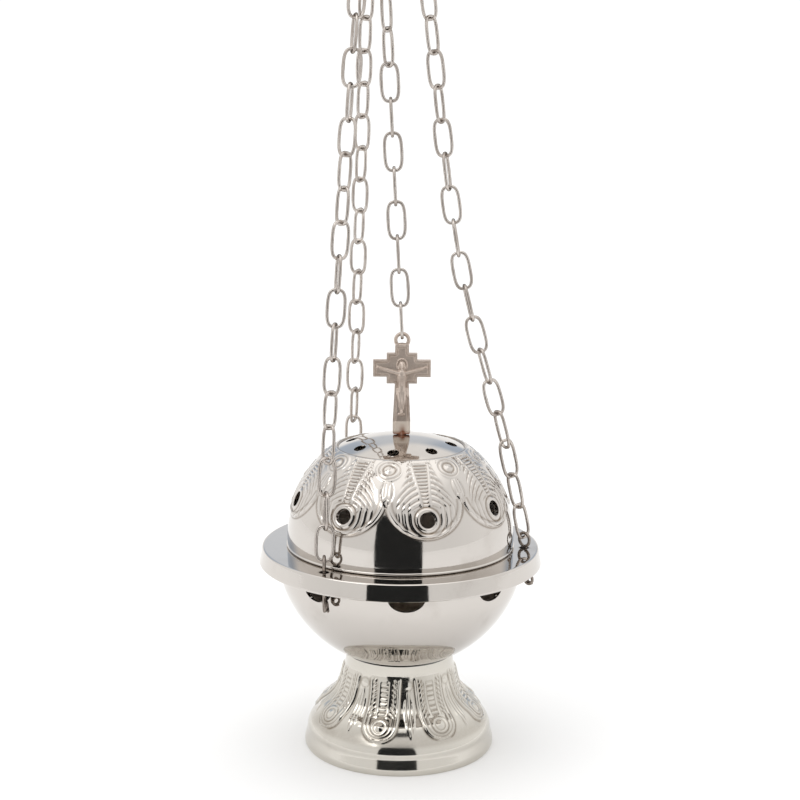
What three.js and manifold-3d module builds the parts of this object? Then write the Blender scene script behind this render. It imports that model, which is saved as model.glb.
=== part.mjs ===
// Hand censer: a footed bowl with a pierced lid, hung on three chains from a canopy,
// with a fourth chain that lifts the lid. Millimetres, +Z up, front of the object towards -Y.
// Heights are counted from the top of the rim ring, and the finished model is then moved
// so that its origin is the point where the bail is held.

import * as THREE from 'three';
import { mergeVertices } from 'three/addons/utils/BufferGeometryUtils.js';
import Module from 'manifold-3d';

const wasm = await Module();
wasm.setup();

// Driving dimensions shared by several pieces
const SHEET = 1.2; // wall of the spun and pressed sheet pieces
const SEAT_GAP = 0.3; // gap between two pieces that rest on each other
const RUN_GAP = 0.5; // gap round a pin, stud or skirt in its hole
const FACET_GAP = 0.15; // the flats of a turned sphere stand this far inside the true curve

// Rim ring, set by the mouth of the bowl
const MOUTH_RADIUS = 46.6; // outside of the bowl's straight upper wall
const RIM_OVERHANG = 7.4; // from that wall out to the ring's outer face
const RIM_LEDGE = 4.6; // from that wall in to the ring's opening
const RIM_PLATE = 1.2;
const BAND_HEIGHT = 6.4;
const BAND_WALL = 1.5;
const BAND_FLARE = 1.3; // how far the band's lower edge stands outside its upper edge
const RIM_EDGE = 0.4; // chamfer of the ring's outer edges

// Bowl
const BOWL_SWELL = 2.4; // how far the sphere is fuller than the mouth
const BOWL_CENTRE_Z = 1;
const VENT_COUNT = 8;
const VENT_WIDTH = 14;
const VENT_HEIGHT = 10;
const VENT_Z = -8.1;
const VENT_AZIMUTH = 3;

// Foot
const FOOT_HEIGHT = 81.4; // from the rim ring down to the floor
const FOOT_RADIUS = 37.6;
const FOOT_NECK_RADIUS = 20.7;
const FOOT_SHOULDER = { radius: 35.8, height: 12.4 }; // heights above the floor
const FOOT_CURVE = { radius: 30.9, height: 16.6 };
const FOOT_WAIST = { radius: 25, height: 22.3 };
const FOOT_THROAT = { radius: 22.3, height: 30 };
const FOOT_EDGE = 1;
const FOOT_RIM = 3; // width of the flat ring that the foot stands on

// Foot screw, washer and nut, and the loose cup for the charcoal
const SCREW_RADIUS = 2.5;
const SCREW_HEAD_RADIUS = 5;
const SCREW_HEAD_HEIGHT = 1.8;
const SCREW_CROWN = { radius: 4, height: 1.2 }; // where the rounded head turns inwards
const SCREW_TAIL = 1.5; // thread that stands out below the nut
const WASHER_RADIUS = 6;
const WASHER_THICKNESS = 1;
const FOOT_NUT_RADIUS = 4.7;
const FOOT_NUT_HEIGHT = 3.4;
const CUP_BASE_RADIUS = 20;
const CUP_MOUTH_RADIUS = 27;
const CUP_HEIGHT = 16;
const CUP_WALL = 1;

// Lid
const LID_INSET = 2.3; // how far the dome stands inside the bowl's wall
const LID_CENTRE_Z = 3;
const LID_BEAD = 2.3; // height of the bead at the lid's edge
const LID_BEAD_REACH = 0.3;
const LID_SKIRT = 4;
const CAP_RADIUS = 24.6; // edge of the smooth cap
const CAP_CURVE = 65; // radius of the cap's own, flatter dome
const CAP_STEP = 0.8; // how far the cap's edge is sunk under the dome round it
const CAP_SAG = 0.25; // drop of the cap's underside from its middle to the edge of a washer
const CAP_HOLE_COUNT = 8;
const CAP_HOLE_RADIUS = 2.3;
const CAP_HOLE_PITCH_RADIUS = 19.5;
const CAP_HOLE_AZIMUTH = -9;
const LEAF_HOLE_COUNT = 8;
const LEAF_HOLE_RADIUS = 3;
const LEAF_HOLE_POLAR = 67.2;
const LEAF_HOLE_AZIMUTH = 14;

// Cross on the lid
const CROSS_THICKNESS = 2.4;
const CROSS_BEVEL = 0.3;
const CROSS_HEIGHT = 33.9; // from the foot of the cross to the top of the shaft
const CROSS_ARM_Z = 25.8; // centre of the arms above the foot of the cross
const CROSS_ARM_LENGTH = 22.2;
const CROSS_ARM_WIDTH = 6.6;
const CROSS_SQUARE = 11.8; // stepped square behind the crossing
const CROSS_SHAFT_WIDTH = 5.4;
const CROSS_BAND_WIDTH = 6.8;
const CROSS_BAND_TOP = 5.5;
const CROSS_BAND_BOTTOM = 0.9;
const CROSS_TOE_WIDTH = 6.2;
const FIGURE_RELIEF = 1.1; // how far the cast figure stands out of the cross
const FIGURE_HEAD_RADIUS = 1.5;
const FIGURE_HEAD_RISE = 1.4; // centre of the head above the centre of the arms
const FIGURE_SHOULDER_DROP = 1.9; // shoulders under the centre of the arms
const FIGURE_SHOULDER_WIDTH = 4.6;
const FIGURE_ARM_REACH = 9.6;
const FIGURE_ARM_RADIUS = 0.75;
const FIGURE_HIP_DROP = 8.6;
const FIGURE_FEET_DROP = 17.4;
const LUG_RADIUS = 3.1;
const LUG_THICKNESS = 2;
const LUG_RISE = 2.8; // centre of the lug above the top of the shaft
const LUG_HOLE_RADIUS = 1.9;
const STUD_RADIUS = 1.4;
const CROSS_NUT_RADIUS = 3.4;
const CROSS_NUT_HEIGHT = 2.2;
const CROSS_WASHER_RADIUS = 4.4;
const CROSS_WASHER_THICKNESS = 0.8;
const STUD_TAIL = 1;

// Chains and their wire fasteners
const WIRE = 1.2; // diameter of the link and fastener wire
const LINK_LENGTH = 15;
const LINK_WIDTH = 7.6;
const LINK_BITE = 0.1; // neighbouring links press this far into each other
const LOWER_RUN_LINKS = 3;
const PIN_OFFSET = 1.9; // fasteners stand this far outside the bowl's wall
const PIN_EYE_RADIUS = 2.6; // to the centre of the wire
const PIN_LEG_GAP = 0.36;
const PIN_FOLD = 3.4; // folded leg, from the fastener's axis to its tip
const PIN_DROP = 12.4; // centre of the lower fastener's curl below the rim ring
const PIN_SHORT_LEG = 9.5; // end of its other leg below the rim ring
const PIN_CURL_RADIUS = 1.7;
const KNEE_SHARE = 0.18; // the two shaping points of a hanging line, along its length
const MID_SHARE = 0.5;
const CONTACT_GAP = 0.35; // between a chain's end link and what it hangs on

// Canopy, bail and lifting ring
const CANOPY_Z = 218.5; // underside of the canopy above the rim ring
const CANOPY_LEAN = -8; // the canopy is held this far to the left of the bowl's axis
const CANOPY_RADIUS = 23;
const CANOPY_SKIRT = 3;
const CANOPY_PLATE = 1.4;
const CANOPY_EDGE = 0.5;
const CANOPY_PIN_RADIUS = 15.8;
const EAR_WIDTH = 7;
const EAR_HEIGHT = 9;
const EAR_THICKNESS = 2;
const EAR_INSET = 2.5; // outer face of an ear inside the canopy's edge
const BAIL_WIRE = 2.6;
const BAIL_SIDE_GAP = 0.6; // between an ear and the bail's leg
const BAIL_HEADROOM = 6; // above the lifting ring when the lid is fully raised
const LIFT_RING_RADIUS = 8.2; // to the centre of the wire
const LIFT_RING_WIRE = 1.8;
const LIFT_CHAIN_TWIST = 90; // turn of the lifting chain's last links, which brings them square to its ring
const LIFT_TWIST_LINKS = 3;
const LID_LIFT = 22; // travel of the lid on the lifting chain

// Chains: azimuth in degrees from the front, outward bulges of the hanging line and link rolls
const CHAINS = [
  { name: 'left', azimuth: -35.5, kneeBulge: 1.4, midBulge: 1.6, kneeSlack: 0.8, roll: -54, twist: 220 },
  { name: 'right', azimuth: 84.5, kneeBulge: -1, midBulge: -6, kneeSlack: 1.6, roll: -131, twist: -90 },
  { name: 'rear', azimuth: -155.5, kneeBulge: 1, midBulge: 1, kneeSlack: 0.8, roll: -130, twist: -25 },
];

// Facets
const ROUND_STEPS = 36;
const CUP_STEPS = 28;
const HOLE_STEPS = 12;
const ARC_STEPS = 7;
const SMALL_ARC_STEPS = 3;
const CAP_STEPS = 4;
const WIRE_SIDES = 5;

// Sizes that follow from the driving dimensions
const RIM_OUTER_RADIUS = MOUTH_RADIUS + RIM_OVERHANG;
const RIM_INNER_RADIUS = MOUTH_RADIUS - RIM_LEDGE;
const PIN_RADIUS = MOUTH_RADIUS + PIN_OFFSET;
const BOWL_RADIUS = MOUTH_RADIUS + BOWL_SWELL;
const LID_RADIUS = MOUTH_RADIUS - LID_INSET;
const WIRE_RADIUS = WIRE / 2;
const PIN_LEG = WIRE_RADIUS + PIN_LEG_GAP / 2;
const PIN_HOLE_RADIUS = PIN_LEG + WIRE_RADIUS + RUN_GAP;
const PIN_EYE_Z = SEAT_GAP + WIRE_RADIUS + Math.sqrt(PIN_EYE_RADIUS ** 2 - PIN_LEG ** 2);
const PIN_HANG_Z = PIN_EYE_Z + PIN_EYE_RADIUS - WIRE - CONTACT_GAP;
const CAP_EDGE_Z = LID_CENTRE_Z + Math.sqrt(LID_RADIUS ** 2 - CAP_RADIUS ** 2) - CAP_STEP;
const CAP_CENTRE_Z = CAP_EDGE_Z - Math.sqrt(CAP_CURVE ** 2 - CAP_RADIUS ** 2);
const CAP_TOP_Z = CAP_CENTRE_Z + CAP_CURVE;
const CROSS_FOOT_Z = CAP_TOP_Z + SEAT_GAP;
const CANOPY_TOP_Z = CANOPY_Z + CANOPY_PLATE;

const METALS = {
  nickel: { color: 0xd9d4cc, roughness: 0.12, metalness: 1 },
  chain: { color: 0xc9bfb4, roughness: 0.25, metalness: 1 },
  cast: { color: 0xa08473, roughness: 0.45, metalness: 1 },
  steel: { color: 0xb9b9b6, roughness: 0.35, metalness: 1 },
  brass: { color: 0xb9935a, roughness: 0.4, metalness: 1 },
};

const model = new THREE.Group();

function radians(degrees) {
  return THREE.MathUtils.degToRad(degrees);
}

// Point at an azimuth from the front, a distance from the axis and a height
function around(azimuth, radius, z) {
  const angle = radians(azimuth);
  return new THREE.Vector3(radius * Math.sin(angle), -radius * Math.cos(angle), z);
}

// Solids and booleans

function volumeOf(geometry) {
  const position = geometry.getAttribute('position');
  const [a, b, c] = [new THREE.Vector3(), new THREE.Vector3(), new THREE.Vector3()];
  let volume = 0;
  for (let i = 0; i < geometry.index.count; i += 3) {
    a.fromBufferAttribute(position, geometry.index.getX(i));
    b.fromBufferAttribute(position, geometry.index.getX(i + 1));
    c.fromBufferAttribute(position, geometry.index.getX(i + 2));
    volume += a.dot(b.cross(c)) / 6;
  }
  return volume;
}

// One closed skin with shared corners, no flat triangles and its faces pointing out
function closed(geometry) {
  const bare = new THREE.BufferGeometry();
  bare.setAttribute('position', geometry.getAttribute('position'));
  bare.setIndex(geometry.index);
  const merged = mergeVertices(bare, 1e-4);
  const kept = [];
  for (let i = 0; i < merged.index.count; i += 3) {
    const corners = [0, 1, 2].map((k) => merged.index.getX(i + k));
    if (new Set(corners).size === 3) kept.push(...corners);
  }
  merged.setIndex(kept);
  if (volumeOf(merged) < 0) merged.setIndex(kept.reverse());
  return merged;
}

function toSolid(geometry) {
  const skin = closed(geometry);
  const vertProperties = new Float32Array(skin.getAttribute('position').array);
  const triVerts = new Uint32Array(skin.index.array);
  return new wasm.Manifold(new wasm.Mesh({ numProp: 3, vertProperties, triVerts }));
}

function toGeometry(solid) {
  const mesh = solid.getMesh();
  const geometry = new THREE.BufferGeometry();
  geometry.setAttribute('position', new THREE.BufferAttribute(mesh.vertProperties, 3));
  geometry.setIndex(new THREE.BufferAttribute(mesh.triVerts, 1));
  return geometry;
}

function joined(geometries) {
  return toGeometry(geometries.map(toSolid).reduce((sum, next) => sum.add(next)));
}

function cutBy(geometry, cutters) {
  return toGeometry(cutters.map(toSolid).reduce((rest, next) => rest.subtract(next), toSolid(geometry)));
}

// Shape builders

// A profile of [radius, height] points turned about the Z axis
function turned(profile, steps = ROUND_STEPS) {
  const points = profile.map(([radius, z]) => new THREE.Vector2(radius, z));
  if (points[0].x > 0) points.push(points[0].clone());
  return closed(new THREE.LatheGeometry(points, steps).rotateX(Math.PI / 2));
}

// Points along a circle in the profile plane, by angle from the radius direction
function arc(centreZ, radius, fromDegrees, toDegrees, steps) {
  return Array.from({ length: steps + 1 }, (_, i) => {
    const angle = radians(THREE.MathUtils.lerp(fromDegrees, toDegrees, i / steps));
    return [radius * Math.cos(angle), centreZ + radius * Math.sin(angle)];
  });
}

// Points of a smooth curve through the given profile points
function fair(points, steps) {
  const curve = new THREE.SplineCurve(points.map(([radius, z]) => new THREE.Vector2(radius, z)));
  return curve.getSpacedPoints(steps).map((point) => [point.x, point.y]);
}

// Round wire bent in the XZ plane along a list of Vector2, ends capped or joined to a loop.
// A corner of its section lies on the left of the path, the inner side of a loop that runs left.
function bentWire(path, radius, loop, sides = WIRE_SIDES) {
  const count = path.length;
  const vertices = [];
  const index = [];
  path.forEach((point, i) => {
    const before = loop || i > 0 ? path[(i + count - 1) % count] : null;
    const after = loop || i < count - 1 ? path[(i + 1) % count] : null;
    const into = (before ? point.clone().sub(before) : after.clone().sub(point)).normalize();
    const out = (after ? after.clone().sub(point) : into.clone()).normalize();
    const along = into.clone().add(out).normalize();
    const mitre = 1 / along.dot(into);
    for (let k = 0; k < sides; k += 1) {
      const angle = (2 * Math.PI * k) / sides;
      const across = radius * Math.cos(angle) * mitre;
      vertices.push(point.x - along.y * across, radius * Math.sin(angle), point.y + along.x * across);
    }
  });
  const rings = loop ? count : count - 1;
  for (let i = 0; i < rings; i += 1) {
    for (let k = 0; k < sides; k += 1) {
      const [a, b] = [i * sides + k, i * sides + ((k + 1) % sides)];
      const [c, d] = [((i + 1) % count) * sides + k, ((i + 1) % count) * sides + ((k + 1) % sides)];
      index.push(a, b, d, a, d, c);
    }
  }
  for (let k = 1; k < sides - 1 && !loop; k += 1) {
    const end = (count - 1) * sides;
    index.push(0, k + 1, k, end, end + k, end + k + 1);
  }
  const geometry = new THREE.BufferGeometry();
  geometry.setAttribute('position', new THREE.Float32BufferAttribute(vertices, 3));
  geometry.setIndex(index);
  return closed(geometry);
}

function upright(radius, height, baseZ, steps = HOLE_STEPS) {
  return new THREE.CylinderGeometry(radius, radius, height, steps)
    .rotateX(Math.PI / 2)
    .translate(0, 0, baseZ + height / 2);
}

// A flat ring about the Z axis, such as a washer, or a nut when it has six sides
function collar(outerRadius, boreRadius, height, baseZ, sides) {
  const bore = upright(boreRadius, 3 * height, baseZ - height);
  return cutBy(upright(outerRadius, height, baseZ, sides), [bore]);
}

function addPiece(name, geometry, metal, place = new THREE.Vector3(), azimuth = 0) {
  const mesh = new THREE.Mesh(geometry, new THREE.MeshStandardMaterial(METALS[metal]));
  mesh.name = name;
  mesh.position.copy(place);
  mesh.rotation.z = radians(azimuth);
  model.add(mesh);
}

// Rim ring: a flat plate on top of the bowl, with a flared band hanging from its outer edge
function rimRing() {
  const bandInner = RIM_OUTER_RADIUS - BAND_WALL;
  const flaredRadius = RIM_OUTER_RADIUS + BAND_FLARE;
  const ring = turned([
    [RIM_INNER_RADIUS, -RIM_PLATE],
    [bandInner, -RIM_PLATE],
    [bandInner + BAND_FLARE, -BAND_HEIGHT],
    [flaredRadius - RIM_EDGE, -BAND_HEIGHT],
    [flaredRadius, RIM_EDGE - BAND_HEIGHT],
    [RIM_OUTER_RADIUS, -RIM_EDGE],
    [RIM_OUTER_RADIUS - RIM_EDGE, 0],
    [RIM_INNER_RADIUS, 0],
  ]);
  const holes = CHAINS.map(({ azimuth }) => {
    const centre = around(azimuth, PIN_RADIUS, 0);
    return upright(PIN_HOLE_RADIUS, 3 * RIM_PLATE, -2 * RIM_PLATE).translate(centre.x, centre.y, 0);
  });
  return cutBy(ring, holes);
}

// Bowl: a hemisphere with a short straight wall, pierced by vents under the rim ring
function bowl() {
  const rimZ = -RIM_PLATE - SEAT_GAP;
  const innerRadius = BOWL_RADIUS - SHEET;
  const boreRadius = SCREW_RADIUS + RUN_GAP;
  const wallInside = MOUTH_RADIUS - SHEET;
  const skin = turned([
    [MOUTH_RADIUS, rimZ],
    ...arc(BOWL_CENTRE_Z, BOWL_RADIUS, below(MOUTH_RADIUS, BOWL_RADIUS), below(boreRadius, BOWL_RADIUS), ARC_STEPS),
    ...arc(BOWL_CENTRE_Z, innerRadius, below(boreRadius, innerRadius), below(wallInside, innerRadius), ARC_STEPS - 1),
    [wallInside, rimZ],
  ]);
  const vents = Array.from({ length: VENT_COUNT }, (_, i) => {
    const cutter = new THREE.CylinderGeometry(1, 1, MOUTH_RADIUS, HOLE_STEPS);
    cutter.scale(VENT_WIDTH / 2, 1, VENT_HEIGHT / 2).translate(0, -MOUTH_RADIUS, VENT_Z);
    return cutter.rotateZ(radians(VENT_AZIMUTH + (360 / VENT_COUNT) * i));
  });
  return cutBy(skin, vents);
}

// Flare of the foot from its shoulder to its throat, or the inside of it
function footFlare(inset, steps) {
  const points = [FOOT_SHOULDER, FOOT_CURVE, FOOT_WAIST, FOOT_THROAT];
  return fair(points.map(({ radius, height }) => [radius - inset, height - FOOT_HEIGHT - inset / 2]), steps);
}

// Foot: a hollow flared stand whose top is dished to seat under the bowl
function foot() {
  const floorZ = -FOOT_HEIGHT;
  const dish = BOWL_RADIUS + SEAT_GAP + FACET_GAP;
  const dishInside = dish + SHEET;
  const boreRadius = SCREW_RADIUS + RUN_GAP;
  return turned([
    ...arc(BOWL_CENTRE_Z, dish, below(boreRadius, dish), below(FOOT_NECK_RADIUS, dish), SMALL_ARC_STEPS),
    ...footFlare(0, SMALL_ARC_STEPS * 2).reverse(),
    [FOOT_RADIUS, floorZ + FOOT_EDGE],
    [FOOT_RADIUS - FOOT_EDGE, floorZ],
    [FOOT_RADIUS - FOOT_EDGE - FOOT_RIM, floorZ],
    [FOOT_RADIUS - FOOT_EDGE - SHEET, floorZ + SHEET],
    ...footFlare(SHEET, SMALL_ARC_STEPS + 1),
    ...arc(BOWL_CENTRE_Z, dishInside, below(FOOT_NECK_RADIUS - SHEET, dishInside),
      below(boreRadius, dishInside), SMALL_ARC_STEPS - 1),
  ]);
}

// Angle under the horizon at which a circle of the given radius lies on a sphere
function below(radius, sphereRadius) {
  return -THREE.MathUtils.radToDeg(Math.acos(radius / sphereRadius));
}

// Height of a sphere about the bowl's centre, at a distance from the axis
function sphereZ(radius, reach) {
  return BOWL_CENTRE_Z - Math.sqrt(radius ** 2 - reach ** 2);
}

function footFixing() {
  const headZ = sphereZ(BOWL_RADIUS - SHEET, SCREW_HEAD_RADIUS) + SEAT_GAP + FACET_GAP;
  const washerZ = sphereZ(BOWL_RADIUS + SEAT_GAP + FACET_GAP + SHEET, 0) - SEAT_GAP - WASHER_THICKNESS;
  const nutZ = washerZ - SEAT_GAP - FOOT_NUT_HEIGHT;
  const tailZ = nutZ - SCREW_TAIL;
  const screw = turned([
    [0, tailZ],
    [SCREW_RADIUS, tailZ],
    [SCREW_RADIUS, headZ],
    [SCREW_HEAD_RADIUS, headZ],
    [SCREW_CROWN.radius, headZ + SCREW_CROWN.height],
    [0, headZ + SCREW_HEAD_HEIGHT],
  ], HOLE_STEPS);
  addPiece('foot_screw', screw, 'steel');
  const bore = SCREW_RADIUS + SEAT_GAP;
  addPiece('foot_washer', collar(WASHER_RADIUS, bore, WASHER_THICKNESS, washerZ, HOLE_STEPS), 'steel');
  addPiece('foot_nut', collar(FOOT_NUT_RADIUS, bore, FOOT_NUT_HEIGHT, nutZ, 6), 'steel');
}

// Loose cup that holds the charcoal, standing on the inside of the bowl
function charcoalCup() {
  const baseZ = sphereZ(BOWL_RADIUS - SHEET, CUP_BASE_RADIUS) + SEAT_GAP + FACET_GAP;
  const topZ = baseZ + CUP_HEIGHT;
  return turned([
    [0, baseZ],
    [CUP_BASE_RADIUS, baseZ],
    [CUP_MOUTH_RADIUS, topZ],
    [CUP_MOUTH_RADIUS - CUP_WALL, topZ],
    [CUP_BASE_RADIUS - CUP_WALL, baseZ + CUP_WALL],
    [0, baseZ + CUP_WALL],
  ], CUP_STEPS);
}

// Lid: a dome with a bead at its edge, a centring skirt and a smooth, flatter cap on top
function lid() {
  const skirtRadius = RIM_INNER_RADIUS - RUN_GAP;
  const skirtInside = skirtRadius - SHEET;
  const innerRadius = LID_RADIUS - SHEET;
  const boreRadius = STUD_RADIUS + RUN_GAP;
  const capInside = CAP_CURVE - SHEET;
  const capAngle = (radius) => -below(radius, CAP_CURVE);
  const crestAngle = -below(CAP_RADIUS + CAP_STEP / 2, LID_RADIUS);
  const innerCrestAngle = -below(CAP_RADIUS + SHEET, innerRadius);
  const shell = turned([
    [skirtInside, -LID_SKIRT],
    [skirtRadius, -LID_SKIRT],
    [skirtRadius, SEAT_GAP],
    [LID_RADIUS, SEAT_GAP],
    [LID_RADIUS + LID_BEAD_REACH, SEAT_GAP + LID_BEAD / 2],
    [LID_RADIUS, SEAT_GAP + LID_BEAD],
    ...arc(LID_CENTRE_Z, LID_RADIUS, 0, crestAngle, ARC_STEPS),
    ...arc(CAP_CENTRE_Z, CAP_CURVE, capAngle(CAP_RADIUS), capAngle(boreRadius), CAP_STEPS),
    ...arc(CAP_CENTRE_Z, capInside, capAngle(boreRadius), capAngle(CAP_RADIUS), CAP_STEPS - 1),
    ...arc(LID_CENTRE_Z, innerRadius, innerCrestAngle, 0, ARC_STEPS - 2),
    [skirtInside, SEAT_GAP + SHEET],
  ]);
  const capHoles = Array.from({ length: CAP_HOLE_COUNT }, (_, i) => {
    const centre = around(CAP_HOLE_AZIMUTH + (360 / CAP_HOLE_COUNT) * i, CAP_HOLE_PITCH_RADIUS, 0);
    return upright(CAP_HOLE_RADIUS, LID_RADIUS, CAP_EDGE_Z - LID_RADIUS / 2).translate(centre.x, centre.y, 0);
  });
  const leafHoles = Array.from({ length: LEAF_HOLE_COUNT }, (_, i) => {
    const cutter = upright(LEAF_HOLE_RADIUS, LID_RADIUS, LID_RADIUS / 2);
    cutter.rotateX(radians(LEAF_HOLE_POLAR)).translate(0, 0, LID_CENTRE_Z);
    return cutter.rotateZ(radians(LEAF_HOLE_AZIMUTH + (360 / LEAF_HOLE_COUNT) * i));
  });
  return cutBy(shell, [...capHoles, ...leafHoles]);
}

// Cross: a flat casting with stepped squares at the crossing, a lug on top and a stud below
function crossOutline() {
  const half = [
    [CROSS_TOE_WIDTH / 2, 0],
    [CROSS_BAND_WIDTH / 2, CROSS_BAND_BOTTOM],
    [CROSS_BAND_WIDTH / 2, CROSS_BAND_TOP],
    [CROSS_SHAFT_WIDTH / 2, CROSS_ARM_Z - CROSS_SQUARE / 2],
    [CROSS_SQUARE / 2, CROSS_ARM_Z - CROSS_SQUARE / 2],
    [CROSS_SQUARE / 2, CROSS_ARM_Z - CROSS_ARM_WIDTH / 2],
    [CROSS_ARM_LENGTH / 2, CROSS_ARM_Z - CROSS_ARM_WIDTH / 2],
    [CROSS_ARM_LENGTH / 2, CROSS_ARM_Z + CROSS_ARM_WIDTH / 2],
    [CROSS_SQUARE / 2, CROSS_ARM_Z + CROSS_ARM_WIDTH / 2],
    [CROSS_SQUARE / 2, CROSS_ARM_Z + CROSS_SQUARE / 2],
    [CROSS_SHAFT_WIDTH / 2, CROSS_ARM_Z + CROSS_SQUARE / 2],
    [CROSS_SHAFT_WIDTH / 2, CROSS_HEIGHT],
  ];
  return [...half, ...half.map(([x, z]) => [-x, z]).reverse()];
}

// Rod of six sides between two points of the cross's front face
function limb(from, to, startRadius, endRadius) {
  const rod = new THREE.CylinderGeometry(endRadius, startRadius, from.distanceTo(to), 6);
  const along = to.clone().sub(from).normalize();
  rod.applyQuaternion(new THREE.Quaternion().setFromUnitVectors(new THREE.Vector3(0, 1, 0), along));
  const middle = from.clone().add(to).multiplyScalar(0.5);
  return rod.translate(middle.x, middle.y, middle.z);
}

// Figure on the cross: head, arms spread to the ends of the cross, body and legs
function figure() {
  const faceY = -CROSS_THICKNESS / 2;
  const spot = (x, drop) => new THREE.Vector3(x, faceY, CROSS_ARM_Z - drop);
  const shoulderX = FIGURE_SHOULDER_WIDTH / 2;
  const head = new THREE.SphereGeometry(FIGURE_HEAD_RADIUS, 8, 6);
  head.translate(0, faceY, CROSS_ARM_Z + FIGURE_HEAD_RISE);
  const neck = limb(spot(0, -FIGURE_HEAD_RISE), spot(0, FIGURE_SHOULDER_DROP), FIGURE_ARM_RADIUS, FIGURE_ARM_RADIUS);
  const arms = [-1, 1].map((side) => limb(
    spot(side * shoulderX * 0.5, FIGURE_SHOULDER_DROP),
    spot(side * FIGURE_ARM_REACH, 0),
    FIGURE_RELIEF,
    FIGURE_ARM_RADIUS,
  ));
  const chest = limb(spot(0, FIGURE_SHOULDER_DROP - 0.5), spot(0, FIGURE_HIP_DROP), shoulderX, FIGURE_RELIEF * 1.3);
  const legs = limb(spot(0, FIGURE_HIP_DROP - 0.5), spot(0, FIGURE_FEET_DROP), FIGURE_RELIEF * 1.6, FIGURE_ARM_RADIUS);
  const flatten = (part) => part.translate(0, -faceY, 0).scale(1, FIGURE_RELIEF / shoulderX, 1).translate(0, faceY, 0);
  return [head, neck, ...arms, flatten(chest), flatten(legs)];
}

function cross() {
  const lugZ = CROSS_HEIGHT + LUG_RISE;
  const plate = new THREE.ExtrudeGeometry(
    new THREE.Shape(crossOutline().map(([x, z]) => new THREE.Vector2(x, z))),
    { depth: CROSS_THICKNESS - 2 * CROSS_BEVEL, bevelThickness: CROSS_BEVEL, bevelSize: CROSS_BEVEL,
      bevelOffset: -CROSS_BEVEL, bevelSegments: 1 },
  );
  plate.translate(0, 0, CROSS_BEVEL - CROSS_THICKNESS / 2).rotateX(Math.PI / 2);
  const lug = new THREE.CylinderGeometry(LUG_RADIUS, LUG_RADIUS, LUG_THICKNESS, HOLE_STEPS);
  const eye = new THREE.CylinderGeometry(LUG_HOLE_RADIUS, LUG_HOLE_RADIUS, LUG_THICKNESS * 2, HOLE_STEPS);
  const stud = upright(STUD_RADIUS, CROSS_BAND_BOTTOM - studBottom(), studBottom());
  const body = joined([plate, lug.translate(0, 0, lugZ), stud, ...figure()]);
  return cutBy(body, [eye.translate(0, 0, lugZ)]).translate(0, 0, CROSS_FOOT_Z);
}

// Lower end of the cross's stud, counted from the foot of the cross
function studBottom() {
  const stack = SHEET + CAP_SAG + CROSS_WASHER_THICKNESS + CROSS_NUT_HEIGHT + 3 * SEAT_GAP;
  return -stack - STUD_TAIL;
}

function crossFixing() {
  const bore = STUD_RADIUS + SEAT_GAP;
  const washerZ = CAP_TOP_Z - SHEET - CAP_SAG - SEAT_GAP - CROSS_WASHER_THICKNESS;
  const nutZ = washerZ - SEAT_GAP - CROSS_NUT_HEIGHT;
  const washer = collar(CROSS_WASHER_RADIUS, bore, CROSS_WASHER_THICKNESS, washerZ, HOLE_STEPS);
  addPiece('cross_washer', washer, 'steel');
  addPiece('cross_nut', collar(CROSS_NUT_RADIUS, bore, CROSS_NUT_HEIGHT, nutZ, 6), 'steel');
}

// Wire fastener: an eye above a plate whose top is at height zero, and two legs through it
function fastenerEye(path) {
  const turn = Math.asin(PIN_LEG / PIN_EYE_RADIUS);
  path.absarc(0, PIN_EYE_Z, PIN_EYE_RADIUS, turn - Math.PI / 2, 1.5 * Math.PI - turn, false);
}

// Lower fastener: one leg hangs down to a curl wider than its hole, the other ends straight
function lowerFastener() {
  const path = new THREE.Path();
  path.absarc(PIN_LEG + PIN_CURL_RADIUS, -PIN_DROP, PIN_CURL_RADIUS, Math.PI * 2.5, Math.PI, true);
  fastenerEye(path);
  path.lineTo(-PIN_LEG, -PIN_SHORT_LEG);
  return bentWire(path.getPoints(4), WIRE_RADIUS, false);
}

// Upper fastener: its eye hangs under the canopy and both legs are folded flat on top
function upperFastener() {
  const foldZ = -CANOPY_PLATE - SEAT_GAP - WIRE_RADIUS;
  const path = new THREE.Path().moveTo(PIN_FOLD, foldZ).lineTo(PIN_LEG, foldZ);
  fastenerEye(path);
  path.lineTo(-PIN_LEG, foldZ).lineTo(-PIN_FOLD, foldZ);
  return bentWire(path.getPoints(4), WIRE_RADIUS, false).rotateX(Math.PI);
}

// One oval link standing in the XZ plane, by the distance between the centres of its end wires
function link(length) {
  const endRadius = (LINK_WIDTH - WIRE) / 2;
  const corner = endRadius * Math.tan(Math.PI / 8);
  const side = length / 2 - endRadius;
  const end = [
    new THREE.Vector2(endRadius, side + corner),
    new THREE.Vector2(corner, side + endRadius),
    new THREE.Vector2(-corner, side + endRadius),
    new THREE.Vector2(-endRadius, side + corner),
  ];
  return bentWire([...end, ...end.map((point) => point.clone().negate())], WIRE_RADIUS, true);
}

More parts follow.
